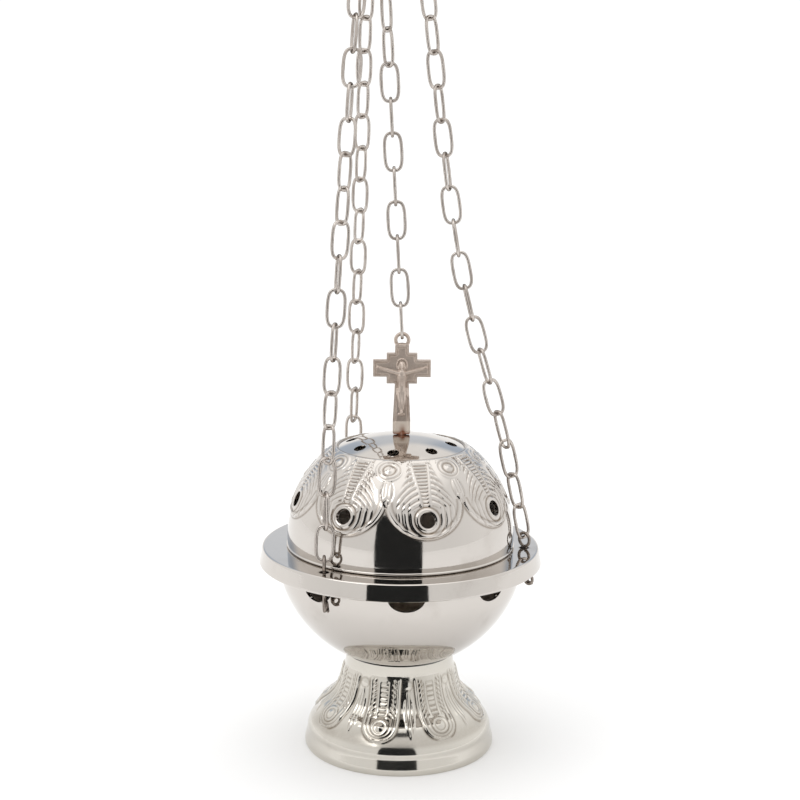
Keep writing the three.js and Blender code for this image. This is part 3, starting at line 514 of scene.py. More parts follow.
def lid_relief(azimuth, rise):
    """Height of the relief and how dark its hollows are, as tarnished metal and painted shade, by azimuth and way up
    from the leaf holes.
    """
    polar = np.radians(LEAF_POLAR) - rise / LID_RADIUS
    girth = LID_RADIUS * np.sin(polar)
    u = girth * np.radians(fold(azimuth, LEAF_AZIMUTH))
    across = np.abs(u)
    shape = np.where(rise < LEAF_WIDEST, np.hypot(u / LEAF_HALF, (rise - LEAF_WIDEST) / LEAF_DROP),
                     across / LEAF_HALF)
    edge = (1 - shape) * 12.5
    under_top = fade(BAND_TOP - 1, BAND_TOP, rise)
    on_band = smooth(-0.35, 0.35, edge) * under_top
    height = 0.42 * on_band
    dark = 0.75 * ridge(edge + 0.55, 0.4) * (rise < 8)
    height += 0.30 * ridge(edge - 0.75, 0.5) * on_band * (rise < 9)
    dark += 0.55 * ridge(edge - 1.9, 0.4) * (rise < 7)
    # flutes that follow the hole below and draw together above it
    draw = 1 - 0.62 * smooth(2, 24, rise)
    flute = np.hypot(across / draw, np.minimum(rise, 0) * 1.05)
    in_leaf = fade(10.6, 12.4, flute) * on_band
    within = smooth(4.8, 5.8, flute) * in_leaf * (1 - 0.75 * smooth(3, 7, rise))
    wave = waves(flute - 5.9, 2.25)
    height += 0.15 * wave * within
    dark += 0.55 * smooth(0.55, 1.0, -wave) * within * (0.5 + 0.5 * smooth(-4, 10, -rise + 6))
    # raised ring round the hole and the groove outside it
    ring = np.hypot(u, rise)
    height += 0.34 * ridge(ring - 3.75, 0.6) - 0.16 * ridge(ring - 4.9, 0.4)
    dark += 0.85 * ridge(ring - 4.9, 0.38) + 0.5 * ridge(ring - 2.95, 0.22)
    # ladder
    width = 0.9 + 1.5 * smooth(5, 23, rise)
    on_ladder = smooth(4.6, 5.4, rise) * fade(22.8, 23.8, rise)
    bar = waves(rise, 1.42)
    inside = fade(width - 0.15, width + 0.2, across)
    height += (0.17 * bar - 0.05) * inside * on_ladder
    dark += 0.85 * smooth(0.2, 0.9, -bar) * inside * on_ladder
    # feather strokes that arch down and outwards beside the ladder
    stroke = waves(rise + across ** 2 / 15, 2.3)
    beside = smooth(width + 1.1, width + 1.6, across) * smooth(3, 6, rise) * in_leaf
    height += 0.13 * stroke * beside
    dark += 0.6 * smooth(0.4, 1.0, -stroke) * beside
    height += 0.2 * ridge(across - width - 0.75, 0.38) * on_ladder
    dark += 0.4 * ridge(across - width - 0.2, 0.22) * on_ladder
    # bud between two leaves, with nested arcs, and the slim leaf under it
    between = girth * np.radians(fold(azimuth, LEAF_AZIMUTH + SPACING / 2))
    bud = np.hypot(between * 0.92, rise - BUD_RISE)
    near = fade(4.6, 5.6, bud)
    arcs = 0.42 + 0.5 * ridge(bud, 1.25) + 0.25 * ridge(bud - 3.0, 0.45) + 0.18 * ridge(bud - 4.4, 0.4)
    height = height * (1 - 0.9 * near) + near * arcs * under_top
    dark = dark * (1 - near) + near * (0.8 * ridge(bud - 2.15, 0.4) + 0.5 * ridge(bud - 3.75, 0.25))
    lens = 2.2 * np.sin(np.pi * np.clip((rise - 4.4) / 12.6, 0, 1))
    slim = fade(lens - 0.3, lens + 0.1, np.abs(between)) * (lens > 0.25) * (1 - near)
    stripe = waves(between, 1.25)
    height += slim * (0.14 + 0.1 * stripe)
    dark += slim * 0.35 * smooth(0.4, 1.0, -stripe)
    seam = ridge(np.abs(between) - lens - 0.25, 0.3) * (rise > 4.6) * (rise < 16.2) * (1 - near)
    height -= 0.16 * seam
    dark += 0.35 * seam
    # top line of the band
    dark += 0.55 * ridge(rise - BAND_TOP, 0.35)
    return height, np.clip(dark, 0, 1)


def shell(name, outer, inner_line, holes, body, node, dark):
    """A plated shell with an unpolished inside, which the same holes go through."""
    points, faces = turned(inner_line, INNER_COLUMNS)
    inner = pierced((points, faces[:, ::-1]), holes, INNER_EDGE)
    piece(name, joined(outer, inner), nickel, body, node, lining=len(outer[1]), hollow=dark)


def lid():
    foot_line = rounded([(40.3, -4.0, 0), (41.5, -4.0, 0.25), (41.5, 0.08, 0.15), (44.1, 0.08, 0.25)])
    bead = circle((44.1, 0.72), 0.5, -70, 70, 9)
    start = math.degrees(math.asin((1.35 - LID_CENTRE_Z) / LID_RADIUS))
    crest = math.degrees(math.acos((CAP_RADIUS + 0.35) / LID_RADIUS))
    dome = arc_line(LID_CENTRE_Z, LID_RADIUS, start, crest, DOME_ROWS)

    def cap_arc(sheet, steps):
        reach = CAP_CURVE - sheet
        return arc_line(CAP_CENTRE_Z, reach, math.degrees(math.acos((CAP_RADIUS - 0.3) / reach)),
                        math.degrees(math.acos(1.9 / reach)), steps)

    step = [(CAP_RADIUS + 0.12, 39.5), (CAP_RADIUS, 39.2), (CAP_RADIUS - 0.12, 39.08)]
    line = np.vstack([foot_line, bead, dome, step, cap_arc(0, 58)])
    columns = 640
    rise = np.full(len(line), OFF_DOME)
    first = len(foot_line) + len(bead)
    last = first + DOME_ROWS
    rise[first:last] = np.radians(LEAF_POLAR - 90 + np.linspace(start, crest, DOME_ROWS)) * LID_RADIUS
    height, dark = lid_relief(azimuths(columns), rise[:, None])
    height[rise == OFF_DOME] = 0
    dark[rise == OFF_DOME] = 0
    # painted shade where the lid sits on the ring and in the step down into the cap
    dark[np.abs(line[:, 1] - 0.1) < 0.3] = 0.5
    dark[last:last + len(step)] = 0.75
    holes = []
    for i in range(8):
        azimuth = LEAF_AZIMUTH + SPACING * i
        axis = around(azimuth, math.sin(math.radians(LEAF_POLAR)), math.cos(math.radians(LEAF_POLAR)))
        holes.append(Hole((0, 0, LID_CENTRE_Z), axis, around(azimuth + 90, 1), LEAF_HOLE))
        spot = around(CAP_HOLES_AZIMUTH + SPACING * i, CAP_HOLES_RADIUS, 30)
        holes.append(Hole(spot, (0, 0, 1), (1, 0, 0), CAP_HOLE))
    inner_line = np.vstack([
        [(40.3, -4.0), (40.3, 1.5), (42.4, 2.0)],
        arc_line(LID_CENTRE_Z, LID_RADIUS - SHEET, 1, 53.6, 60), cap_arc(SHEET, 26)])
    outer = pierced(turned(line, columns, height), holes, SHEET)
    shell("lid_shell", outer, inner_line, holes, "lid", "lid", dark.ravel())


lid()

# Bowl and rim ring

WALL_TOP_Z = -1.5
VENT = (7.0, 5.0)
VENTS_AZIMUTH = 3.0
VENTS_Z = -8.1
NECK_Z = -44.4
RING_BASE_Z = -1.2
BAND_BASE_Z = -6.4


def below(reach, radius):
    return BOWL_CENTRE_Z - math.sqrt(radius ** 2 - reach ** 2)


def bowl():
    def wall(radius, mouth):
        turn = -math.degrees(math.acos(mouth / radius))
        ball = arc_line(BOWL_CENTRE_Z, radius, -math.degrees(math.acos(3.0 / radius)), turn - 4, 60)
        bend = (mouth, below(mouth, radius) + 0.5, 4.5)
        straight = rounded([(*ball[-1], 0), bend, (mouth, WALL_TOP_Z, 0)], steps=12)
        return np.vstack([ball[:-1], straight])

    lip_z = WALL_TOP_Z + 0.08
    outer_line = np.vstack([resampled(wall(BOWL_RADIUS, MOUTH_RADIUS), 0.62),
                            [(MOUTH_RADIUS - 0.25, lip_z), (MOUTH_RADIUS - SHEET, lip_z)]])
    inner_line = resampled(wall(BOWL_RADIUS - SHEET, MOUTH_RADIUS - SHEET), 1.0)
    holes = []
    for i in range(8):
        azimuth = VENTS_AZIMUTH + SPACING * i
        holes.append(Hole((0, 0, VENTS_Z), around(azimuth, 1), around(azimuth + 90, 1), VENT))
    outer = pierced(turned(outer_line, 480), holes, SHEET)
    # painted shade on the bowl round its neck, where the foot meets it
    shell("bowl_shell", outer, inner_line, holes, "censer", "bowl", 0.9 * ridge(outer[0][:, 2] - NECK_Z, 0.9))


def pin_holes(radius, z):
    """The three wire fasteners' holes, cut upwards from z."""
    return [Hole(around(azimuth, radius, z), (0, 0, 1), (1, 0, 0), (PIN_HOLE_RADIUS,) * 2)
            for azimuth in PIN_AZIMUTHS]


# Painted shade round the fasteners' holes, where the wires go through them
def shade_at_pins(points, radius):
    away = np.array([np.hypot(*(points[:, :2] - around(azimuth, radius)[:2]).T) for azimuth in PIN_AZIMUTHS])
    return 0.7 * ridge(away.min(0) - PIN_HOLE_RADIUS, 0.5)


def rim_ring():
    line = rounded([(42, RING_BASE_Z, 0.3), (52.5, RING_BASE_Z, 0.3), (53.8, BAND_BASE_Z, 0.4),
                    (55.3, BAND_BASE_Z, 0.4), (54, 0, 0.5), (42, 0, 0.3)], closed=True, steps=7)
    ring = turned(resampled(line, 0.38, closed=True), 540, closed=True)
    ring = pierced(ring, pin_holes(PIN_RADIUS, -9), 0.6)
    piece("rim_band", ring, nickel, "censer", "rim_ring", hollow=shade_at_pins(ring[0], PIN_RADIUS))


bowl()
rim_ring()

# Foot: eight petals with a ringed boss at the tip, a ladder up the middle and strokes beside it

PETAL_AZIMUTH = -14.0
PETAL_LENGTH = 20.2
PETAL_HALF = 6.7
PETAL_BARS = 1.9
KNOB_WAY = 16.9
BOSS_RADIUS, BOSS_Z = 30.9, 16.6
FOOT_LINE = [(37.2, 0.0), (37.5, 0.6), (37.58, 1.4), (37.45, 2.4), (37.2, 3.4), (36.92, 4.5), (36.64, 5.6),
             (36.46, 6.5), (36.42, 7.4), (36.28, 8.3), (35.95, 9.3), (35.5, 10.2), (34.45, 11.7), (32.9, 13.8),
             (BOSS_RADIUS, BOSS_Z), (27.8, 19.2), (25, 22.3), (23.3, 26), (22.3, 30), (21.6, 33), (21.35, 35.2),
             (21.3, 36.8), (21.3, 37.9)]


def foot_relief(azimuth, radius, way):
    """The same for the foot, by azimuth, radius and way up the flare from the boss at the petal's tip."""
    u = radius * np.radians(fold(azimuth, PETAL_AZIMUTH))
    across = np.abs(u)
    narrow = 1 - 0.12 * smooth(0, 14, way)
    petal = np.hypot(across / narrow, np.minimum(way, 0) * 1.15)
    edge = PETAL_HALF - petal
    on = smooth(-6.5, -5.4, way) * fade(PETAL_LENGTH - 2.2, PETAL_LENGTH, way)
    height = 0.40 * smooth(-0.4, 0.4, edge) * on
    dark = 0.7 * ridge(edge + 0.5, 0.45) * on
    height += 0.26 * ridge(edge - 0.6, 0.5) * on + 0.22 * ridge(petal - 4.5, 0.5) * on
    dark += 0.5 * ridge(petal - 5.3, 0.3) * on + 0.45 * ridge(petal - 3.75, 0.3) * on
    # boss
    boss = np.hypot(u, way)
    height += 0.28 * ridge(boss - 2.9, 0.45) + 0.42 * ridge(boss, 1.1)
    dark += 0.55 * ridge(boss - 2.1, 0.3) + 0.5 * ridge(boss - 3.6, 0.25)
    # ladder
    on_ladder = smooth(3.6, 4.4, way) * fade(17.4, 18.6, way)
    bar = waves(way, PETAL_BARS)
    inside = fade(1.15, 1.5, across)
    height += 0.16 * bar * inside * on_ladder + 0.16 * ridge(across - 2.0, 0.35) * on_ladder
    dark += (0.65 * smooth(0.1, 0.9, -bar) * inside + 0.5 * ridge(across - 1.5, 0.22)
             + 0.45 * ridge(across - 2.6, 0.25)) * on_ladder
    # feather strokes between the ladder and the petal's edge
    stroke = waves(way + across ** 2 / 7, PETAL_BARS)
    beside = smooth(2.6, 3.1, across) * fade(5.0, 5.7, petal) * smooth(3, 5, way) * on
    height += 0.12 * stroke * beside
    dark += 0.6 * smooth(0.3, 1.0, -stroke) * beside
    # slim leaf and knob between two petals
    between = radius * np.radians(fold(azimuth, PETAL_AZIMUTH + SPACING / 2))
    lens = 2.3 * np.sin(np.pi * np.clip((way + 4.5) / 20.0, 0, 1))
    slim = fade(lens - 0.3, lens + 0.2, np.abs(between)) * (lens > 0.2)
    stripe = waves(between, 1.5)
    height += slim * (0.22 + 0.14 * stripe)
    dark += slim * 0.5 * smooth(0.3, 1.0, -stripe)
    knob = np.hypot(between, way - KNOB_WAY)
    height += 0.22 * ridge(knob, 1.2)
    dark += 0.4 * ridge(knob - 1.9, 0.35)
    return height, np.clip(dark, 0, 1)


def foot():
    columns = 576
    line = resampled(spline(FOOT_LINE, 12), 0.42)
    line[:, 1] += FLOOR_Z
    reach = lengths(line)
    boss_at = reach[np.argmin(np.hypot(line[:, 0] - BOSS_RADIUS, line[:, 1] - BOSS_Z - FLOOR_Z))]
    way = (reach - boss_at)[:, None]
    height, dark = foot_relief(azimuths(columns), line[:, :1], way)
    flare = smooth(-6.2, -5.2, way)
    # the relief's dark marks are tarnished metal and painted shade; a faint darker ring runs round the petals' lower
    # ends
    dark = np.clip(dark * flare + 0.28 * smooth(-8.6, -6.6, way) * fade(-5.6, 0.5, way), 0, 1)
    skin = turned(line, columns, height * flare)
    dish = turned(arc_line(BOWL_CENTRE_Z, 49.3, -88, -64.4, 10), 120)
    inner_line = [(19.6, -44.6), (20.9, -51.4), (23.6, -59.2), (29.6, -66), (35.2, -70.4), (35.4, -80.2),
                  (33.6, FLOOR_Z), (36.9, FLOOR_Z)]
    inner = turned(resampled(rounded([(*p, 1.2) for p in inner_line]), 0.8), 160)
    piece("foot_shell", joined(skin, dish, inner), foot_nickel, "censer", "foot", hollow=dark.ravel())


foot()

# Charcoal cup, screws, washers and nuts


def nut(flat_radius, bore, height, base_z):
    """A six-sided nut with its corners turned down at both ends."""
    columns = 144
    z = np.array([0, 0.12, 0.2, 0.5, 0.8, 0.88, 1.0]) * height
    angle = azimuths(columns)
    apothem = flat_radius * math.cos(math.pi / 6)
    hexagon = apothem / np.cos(np.radians((angle + 30) % 60 - 30))
    end = np.minimum(z, height - z)[:, None]
    radius = np.minimum(hexagon[None, :], apothem * 0.99 + end * 1.9)
    profile = np.stack([np.full(len(z), apothem), z + base_z], 1)
    points, faces = turned(profile, columns)
    grid = points.reshape(len(z), columns, 3)
    grid[..., :2] *= (radius / apothem)[..., None]
    top_z = base_z + height
    ends = [turned(np.array([(bore, z_end), (bore + 0.2, z_end), (apothem * 0.99, z_end)]), columns)
            for z_end in (base_z, top_z)]
    wall = turned(np.array([(bore, top_z), (bore, base_z)]), columns)
    return joined((grid.reshape(-1, 3), faces), *ends, wall)


def threaded(radius, base_z, top_z, pitch, columns=72):
    """A threaded shank with a helical ridge."""
    z = np.arange(base_z + 0.02, top_z, pitch / 8)
    profile = np.stack([np.full(len(z), radius - pitch * 0.22), z], 1)
    phase = (z[:, None] / pitch - np.arange(columns)[None, :] / columns) % 1
    lift = pitch * 0.44 * (1 - np.abs(2 * phase - 1)) - pitch * 0.22
    points, faces = turned(profile, columns, lift)
    return points, [*faces.tolist(), list(range(columns))[::-1]]


def washer(outer, bore, base_z, height):
    return turned(rounded([(bore, base_z, 0.1), (outer, base_z, 0.2), (outer, base_z + height, 0.3),
                           (bore, base_z + height, 0.2)], closed=True, steps=5), 96, closed=True)


def fixings():
    head_z = below(5.0, BOWL_RADIUS - SHEET) + BOWL_GAP
    dome = rounded([(0.01, head_z + 1.8, 0), (2.4, head_z + 1.72, 1.0), (4.3, head_z + 1.0, 1.0),
                    (5.0, head_z + 0.3, 0.3), (5.0, head_z, 0.15), (2.5, head_z, 0)])[::-1]
    dome = resampled(dome, 0.12)
    columns = 144
    from_slot = np.abs(dome[:, :1] * np.sin(np.radians(azimuths(columns))))
    on_top = smooth(0.6, 0.9, dome[:, 1:] - head_z)
    head = turned(dome, columns, -0.7 * fade(0.45, 0.6, from_slot) * on_top)
    # under the bowl, and then under the lid's cap
    thick, nut_height = 1.0, 3.4
    washer_z = BOWL_CENTRE_Z - BOWL_RADIUS - BOWL_GAP - SHEET - SEAT_GAP - thick
    nut_z = washer_z - SEAT_GAP - nut_height
    piece("foot_bolt", joined(head, threaded(2.45, nut_z - 1.5, head_z, 0.8)), steel, "censer", "foot_screw")
    piece("foot_bolt_washer", washer(6.0, 2.8, washer_z, thick), steel, "censer", "foot_washer")
    piece("foot_bolt_nut", nut(4.7, 2.8, nut_height, nut_z), steel, "censer", "foot_nut")
    thick, nut_height = 0.8, 2.2
    washer_z = CAP_TOP_Z - SHEET - CAP_SAG - SEAT_GAP - thick
    piece("stud_washer", washer(4.4, 1.7, washer_z, thick), steel, "lid", "cross_washer")
    piece("stud_nut", nut(3.4, 1.7, nut_height, washer_z - SEAT_GAP - nut_height), steel, "lid", "cross_nut")


def cup():
    base = below(20, BOWL_RADIUS - SHEET) + BOWL_GAP
    line = [(0.02, 0.25, 0), (17.5, 0.25, 0.4), (18.4, 0, 0.4), (20.0, 0, 0.9), (26.5, 14.4, 0.8), (26.9, 15.0, 0.3),
            (27.0, 15.7, 0.3), (26.4, 16.0, 0.25), (25.9, 15.4, 0.3), (19.1, 1.0, 1.0), (0.02, 1.0, 0)]
    line = resampled(rounded([(radius, base + z, cut) for radius, z, cut in line]), 0.35)
    columns = 240
    hammer = 0.05 * np.sin(np.radians(azimuths(columns) * 30)) * np.sin(line[:, 1:] * 1.9)
    piece("cup_shell", turned(line, columns, hammer), cup_metal, "censer", "charcoal_cup")


fixings()
cup()

# Cross: voxel-remeshed casting of the plate, figure, lug and stud

ARM_Z = 25.8
HEAD_Z = ARM_Z + 1.45
CROSS_Z = CAP_TOP_Z + SEAT_GAP
FACE_Y = -1.2
GROOVE = 0.95
CROSS_HALF = [(3.1, 0), (3.4, 0.9), (3.4, 5.5), (2.7, 19.9), (5.9, 19.9), (5.9, 22.5), (11.1, 22.5), (11.1, 29.1),
              (5.9, 29.1), (5.9, 31.7), (2.7, 31.7), (2.7, 34.9)]
CROSS_OUTLINE = CROSS_HALF + [(-x, z) for x, z in CROSS_HALF[::-1]]


def blob(centre, radii, tilt=0.0, steps=20):
    """An ellipsoid, tilted in the plane of the cross."""
    polar = np.linspace(0, math.pi, steps)[:, None]
    angle = np.arange(2 * steps)[None, :] * math.pi / steps
    points = np.stack([radii[0] * np.sin(polar) * np.cos(angle), radii[1] * np.sin(polar) * np.sin(angle),
                       radii[2] * np.cos(polar) + 0 * angle], -1)
    c, s = math.cos(math.radians(tilt)), math.sin(math.radians(tilt))
    points = points @ np.array([[c, 0, s], [0, 1, 0], [-s, 0, c]]) + np.array(centre)
    return points.reshape(-1, 3), grid_faces(steps, 2 * steps)[:, [0, 3, 2, 1]]


def limb(stations, depth=0.8, base=ARM_Z):
    """A tapering form through stations of (x, rise over the base, out, radius), flattened by depth."""
    points = np.array([(x, FACE_Y - out, base + z) for x, z, out, _ in stations], float)
    radius = [station[3] for station in stations]
    blobs = []
    for i in range(len(points) - 1):
        steps = max(2, int(np.linalg.norm(points[i + 1] - points[i]) / 0.25))
        for t in np.linspace(0, 1, steps, endpoint=False):
            r = radius[i] + (radius[i + 1] - radius[i]) * t
            blobs.append(blob(points[i] + (points[i + 1] - points[i]) * t, (r, r * depth, r), steps=8))
    return blobs


def cross_forms():
    """Closed forms that run into each other. Those of the figure are placed by how far they stand out."""
    count = len(CROSS_OUTLINE)
    plate = [(x, y, z) for y in (FACE_Y, -FACE_Y) for x, z in CROSS_OUTLINE]
    faces = [list(range(count)), [2 * count - 1 - k for k in range(count)]]
    faces += [[k, k + count, (k + 1) % count + count, (k + 1) % count] for k in range(count)]
    forms = [(np.array(plate, float), faces)]

    def ball(x, out, z, radii, tilt=0.0):
        forms.append(blob((x, FACE_Y - out, z), radii, tilt))

    # lug with its eye, and the stud
    points, faces = bent(full_circle((0, 36.7), 2.5, 48), 0.72, loop=True, sides=12)
    forms.append((points * np.array([1, 1.7, 1]), faces))
    forms.append(blob((0, 0, 34.7), (2.4, 1.15, 1.0)))
    forms.append(turned(np.array([(0.02, -6.3), (1.3, -6.3), (1.4, -6.0), (1.4, 0.1), (0.95, 0.6), (0.95, 3),
                                  (0.02, 3)]), 40))
    # head of the figure: skull, hair, beard and plain features
    ball(0, 0.75, HEAD_Z, (0.86, 0.78, 1.12), 6)
    ball(0, 0.42, HEAD_Z + 0.3, (1.12, 0.82, 1.2), 6)
    for side in (-1, 1):
        forms += limb([(side * 0.92, 0.5, 0.45, 0.36), (side * 1.05, -0.5, 0.42, 0.36),
                       (side * 0.98, -1.45, 0.3, 0.28)], base=HEAD_Z)
        ball(side * 0.33, 1.42, HEAD_Z + 0.22, (0.19, 0.14, 0.09))
        ball(side * 0.34, 1.44, HEAD_Z + 0.42, (0.26, 0.12, 0.07))
    ball(0, 1.53, HEAD_Z + 0.08, (0.11, 0.2, 0.34))
    ball(0, 1.42, HEAD_Z - 0.42, (0.27, 0.14, 0.07))
    ball(0, 1.12, HEAD_Z - 0.86, (0.5, 0.42, 0.52))
    # halo behind the head
    halo_z = HEAD_Z + 0.05
    points, faces = bent(full_circle((0, halo_z), 1.95, 60), 0.2, loop=True, sides=10)
    forms.append((points * np.array([0.95, 1.4, 1.16]) + np.array([0, FACE_Y - 0.12, -0.16 * halo_z]), faces))
    # neck, chest, waist, hips
    forms += limb([(0, HEAD_Z - 1.0, 0.45, 0.55), (0, ARM_Z - 1.7, 0.35, 0.7)], base=0)
    forms += limb([(-1.5, -1.75, 0.35, 0.75), (1.5, -1.75, 0.35, 0.75)])
    forms += limb([(0, -2.2, 0.25, 1.75), (0, -3.6, 0.3, 1.75), (0.05, -5.2, 0.15, 1.35), (0.1, -6.6, 0.1, 1.25),
                   (0, -8.3, 0.15, 1.6)], 0.62)
    for side in (-1, 1):
        ball(side * 0.85, 1.12, ARM_Z - 2.9, (0.8, 0.38, 0.55), side * 12)
        ball(side * 0.55, 0.98, ARM_Z - 5.9, (0.42, 0.22, 0.8))
        # arms: shoulder, elbow, wrist and hand
        forms += limb([(side * 1.7, -1.75, 0.4, 0.72), (side * 3.3, -1.25, 0.42, 0.62),
                       (side * 5.2, -0.75, 0.38, 0.55), (side * 5.8, -0.55, 0.36, 0.5),
                       (side * 7.4, -0.1, 0.32, 0.46), (side * 8.8, 0.35, 0.25, 0.34)], 0.9)
        ball(side * 9.4, 0.25, ARM_Z + 0.5, (0.72, 0.32, 0.42), -side * 12)
        ball(side * 9.15, 0.55, ARM_Z + 0.48, (0.2, 0.25, 0.2))
    # cloth round the hips with folds and a knot, then the legs and feet
    for fall in (0.0, 0.55, 1.1, 1.65, 2.2):
        forms += limb([(-1.75, ARM_Z - 8.0 - fall, 0.1, 0.42), (0.1, ARM_Z - 8.45 - fall, 0.7, 0.46),
                       (1.8, ARM_Z - 7.7 - fall * 0.9, 0.1, 0.42)], base=0)
    forms += limb([(1.85, -7.9, 0.35, 0.55), (2.15, -9.4, 0.2, 0.42), (2.0, -11.2, 0.05, 0.24)])
    forms += limb([(-0.75, -9.5, 0.35, 0.95), (-0.55, -12.6, 0.75, 0.72), (-0.5, -14.0, 0.4, 0.62),
                   (-0.15, -16.2, 0.2, 0.44)])
    forms += limb([(0.75, -9.5, 0.35, 0.95), (0.75, -12.4, 0.65, 0.72), (0.55, -13.9, 0.4, 0.62),
                   (0.2, -16.2, 0.3, 0.44)])
    ball(-0.15, 0.45, ARM_Z - 17.0, (0.42, 0.45, 0.85), 6)
    ball(0.12, 0.72, ARM_Z - 16.9, (0.4, 0.42, 0.8), -6)
    forms += limb([(-1.1, -17.9, 0.1, 0.35), (1.1, -17.9, 0.1, 0.35)])
    return forms


def outline_distance(points):
    """How far from the cross's outline points of (x, z) lie."""
    line = np.array(CROSS_OUTLINE)
    best = np.full(len(points), np.inf)
    for a, b in zip(line, np.roll(line, -1, axis=0)):
        along = b - a
        t = np.clip(((points - a) @ along) / (along @ along), 0, 1)
        best = np.minimum(best, np.linalg.norm(points - a - t[:, None] * along, axis=1))
    return best


def remeshed(forms, voxel, rounds):
    """One skin round all the forms, in millimetres."""
    points, faces = joined(*forms)
    data = bpy.data.meshes.new("draft")
    data.from_pydata((points / 1000).tolist(), [], faces)
    draft = placed("draft", data)
    remesh = draft.modifiers.new("skin", "REMESH")
    remesh.mode = "VOXEL"
    remesh.voxel_size = voxel / 1000
    soften = draft.modifiers.new("soften", "SMOOTH")
    soften.factor = 0.5
    soften.iterations = rounds
    bpy.context.view_layer.update()
    graph = bpy.context.evaluated_depsgraph_get()
    made = bpy.data.meshes.new_from_object(draft.evaluated_get(graph))
    count = len(made.vertices)
    flat = np.empty(count * 3)
    made.vertices.foreach_get("co", flat)
    faces = [list(face.vertices) for face in made.polygons]
    bpy.data.objects.remove(draft)
    bpy.data.meshes.remove(data)
    bpy.data.meshes.remove(made)
    return flat.reshape(-1, 3) * 1000, faces


def cross():
    points, faces = remeshed(cross_forms(), 0.13, 3)
    # a groove along the outline, on the plate's front and back
    face = (points[:, 1] < -1.02) & (points[:, 1] > -1.34) & (points[:, 2] > 0.5)
    inset = outline_distance(points[:, [0, 2]])
    back = (points[:, 1] > 1.0) & (points[:, 2] > 0.5)
    groove = 0.16 * ridge(inset - GROOVE, 0.24)
    points[:, 1] += np.where(face, groove, 0) - np.where(back, groove, 0)
    # dark hollows, a pale patch low on the shaft and rust at its foot
    x, z = points[:, 0], points[:, 2]
    band = smooth(0.5, 0.8, z) * fade(4.9, 5.3, z)
    dark = np.where(face, 0.75 * ridge(inset - GROOVE, 0.3), 0)
    dark += 0.35 * ridge(points[:, 1] - FACE_Y, 0.16) * (inset > 1.5)
    dark *= 1 - band
    rust = 0.95 * ridge(z - 0.1, 0.8) + 0.95 * ridge(x - 0.4, 1.0) * fade(1.4, 5.0, z) * (z > -0.5)
    points[:, 2] += CROSS_Z
    piece("cross_casting", (points, faces), cast_metal, "lid", "cross", crease=60,
          hollow=np.clip(dark, 0, 1), pale=band, rust=np.clip(rust, 0, 1))


cross()

# Wire fasteners

EYE_RADIUS = 2.6
LEG = 0.78
EYE_Z = SEAT_GAP + WIRE_RADIUS + math.sqrt(EYE_RADIUS ** 2 - LEG ** 2)
HANG_Z = EYE_Z + EYE_RADIUS - 2 * WIRE_RADIUS - CONTACT_GAP
CURL_RADIUS = 1.7


def eye_path():
    turn = math.degrees(math.asin(LEG / EYE_RADIUS))
    return circle((0, EYE_Z), EYE_RADIUS, turn - 90, 270 - turn, 40)


def lower_fastener():
    """An eye over the ring and two legs through it, one of them with a curl at its end."""
    curl = circle((LEG + CURL_RADIUS, -12.4), CURL_RADIUS, 290, -180, 46)
    points, faces = bent(np.vstack([
        curl, resampled(np.array([(LEG, -11.6), (LEG, EYE_Z - EYE_RADIUS + 0.5)]), 0.8), eye_path(),
        resampled(np.array([(-LEG, EYE_Z - EYE_RADIUS + 0.3), (-LEG, -9.5)]), 0.8)]))
    row = np.arange(len(points)) // WIRE_SIDES
    points[:, 1] += 1.63 * np.clip(1 - row / len(curl), 0, 1)
    return points, faces


def upper_fastener():
    """An eye under the canopy, with two legs that are bent apart on top of it."""
    fold_z = -1.4 - SEAT_GAP - WIRE_RADIUS
    right = rounded([(3.4, fold_z, 0), (LEG, fold_z, 0.5), (LEG, 0.3, 0)], steps=8)
    left = rounded([(-LEG, 0.3, 0), (-LEG, fold_z, 0.5), (-3.4, fold_z, 0)], steps=8)
    points, faces = bent(np.vstack([right, eye_path(), left]))
    return points * np.array([1, -1, -1]), faces


# Chains, in the same line and rolls as the CAD's. For each, how far its knee and its middle stand out, the
# slack at its knee, the roll of its first link and the twist from end to end

CHAINS = {
    "left": (1.4, 1.6, 0.8, -54, 220),
    "right": (-1.0, -6.0, 1.6, -131, -90),
    "rear": (1.0, 1.0, 0.8, -130, -25),
}
KNEE_SHARE = 0.18
LOWER_LINKS = 3
LINK_PITCH = 12.6
END_RADIUS = 3.2
OVAL = 0.62
PRESSED = 0.05


def hanging_curve(points, divisions=200):
    """Centripetal Catmull-Rom line through the points, as (samples, length along it)."""
    p = np.array(points, float)
    full = np.vstack([2 * p[0] - p[1], p, 2 * p[-1] - p[-2]])
    samples = []
    for k in range(divisions + 1):
        at = (len(p) - 1) * k / divisions
        i = min(int(at), len(p) - 2)
        w = at - i
        x0, x1, x2, x3 = full[i:i + 4]
        d0, d1, d2 = (np.sum((b - a) ** 2) ** 0.25 for a, b in ((x0, x1), (x1, x2), (x2, x3)))
        t1 = ((x1 - x0) / d0 - (x2 - x0) / (d0 + d1) + (x2 - x1) / d1) * d1
        t2 = ((x2 - x1) / d1 - (x3 - x1) / (d1 + d2) + (x3 - x2) / d2) * d1
        samples.append(x1 + t1 * w + (-3 * x1 + 3 * x2 - 2 * t1 - t2) * w ** 2 + (2 * x1 - 2 * x2 + t1 + t2) * w ** 3)
    samples = np.array(samples)
    return samples, lengths(samples)


def link(length):
    """One oval link of round wire in the XZ plane, with a slight swelling at its joint."""
    c, s = circle((0, 0), 1, 0, 360, 241).T
    oval = np.stack([END_RADIUS * np.sign(c) * np.abs(c) ** OVAL, length / 2 * np.sign(s) * np.abs(s) ** OVAL], 1)
    path = resampled(oval, 0.62)[:-1]
    radius = WIRE_RADIUS + 0.05 * ridge(path[:, 1], 0.9) * (path[:, 0] > 3)
    return bent(path, radius, loop=True)


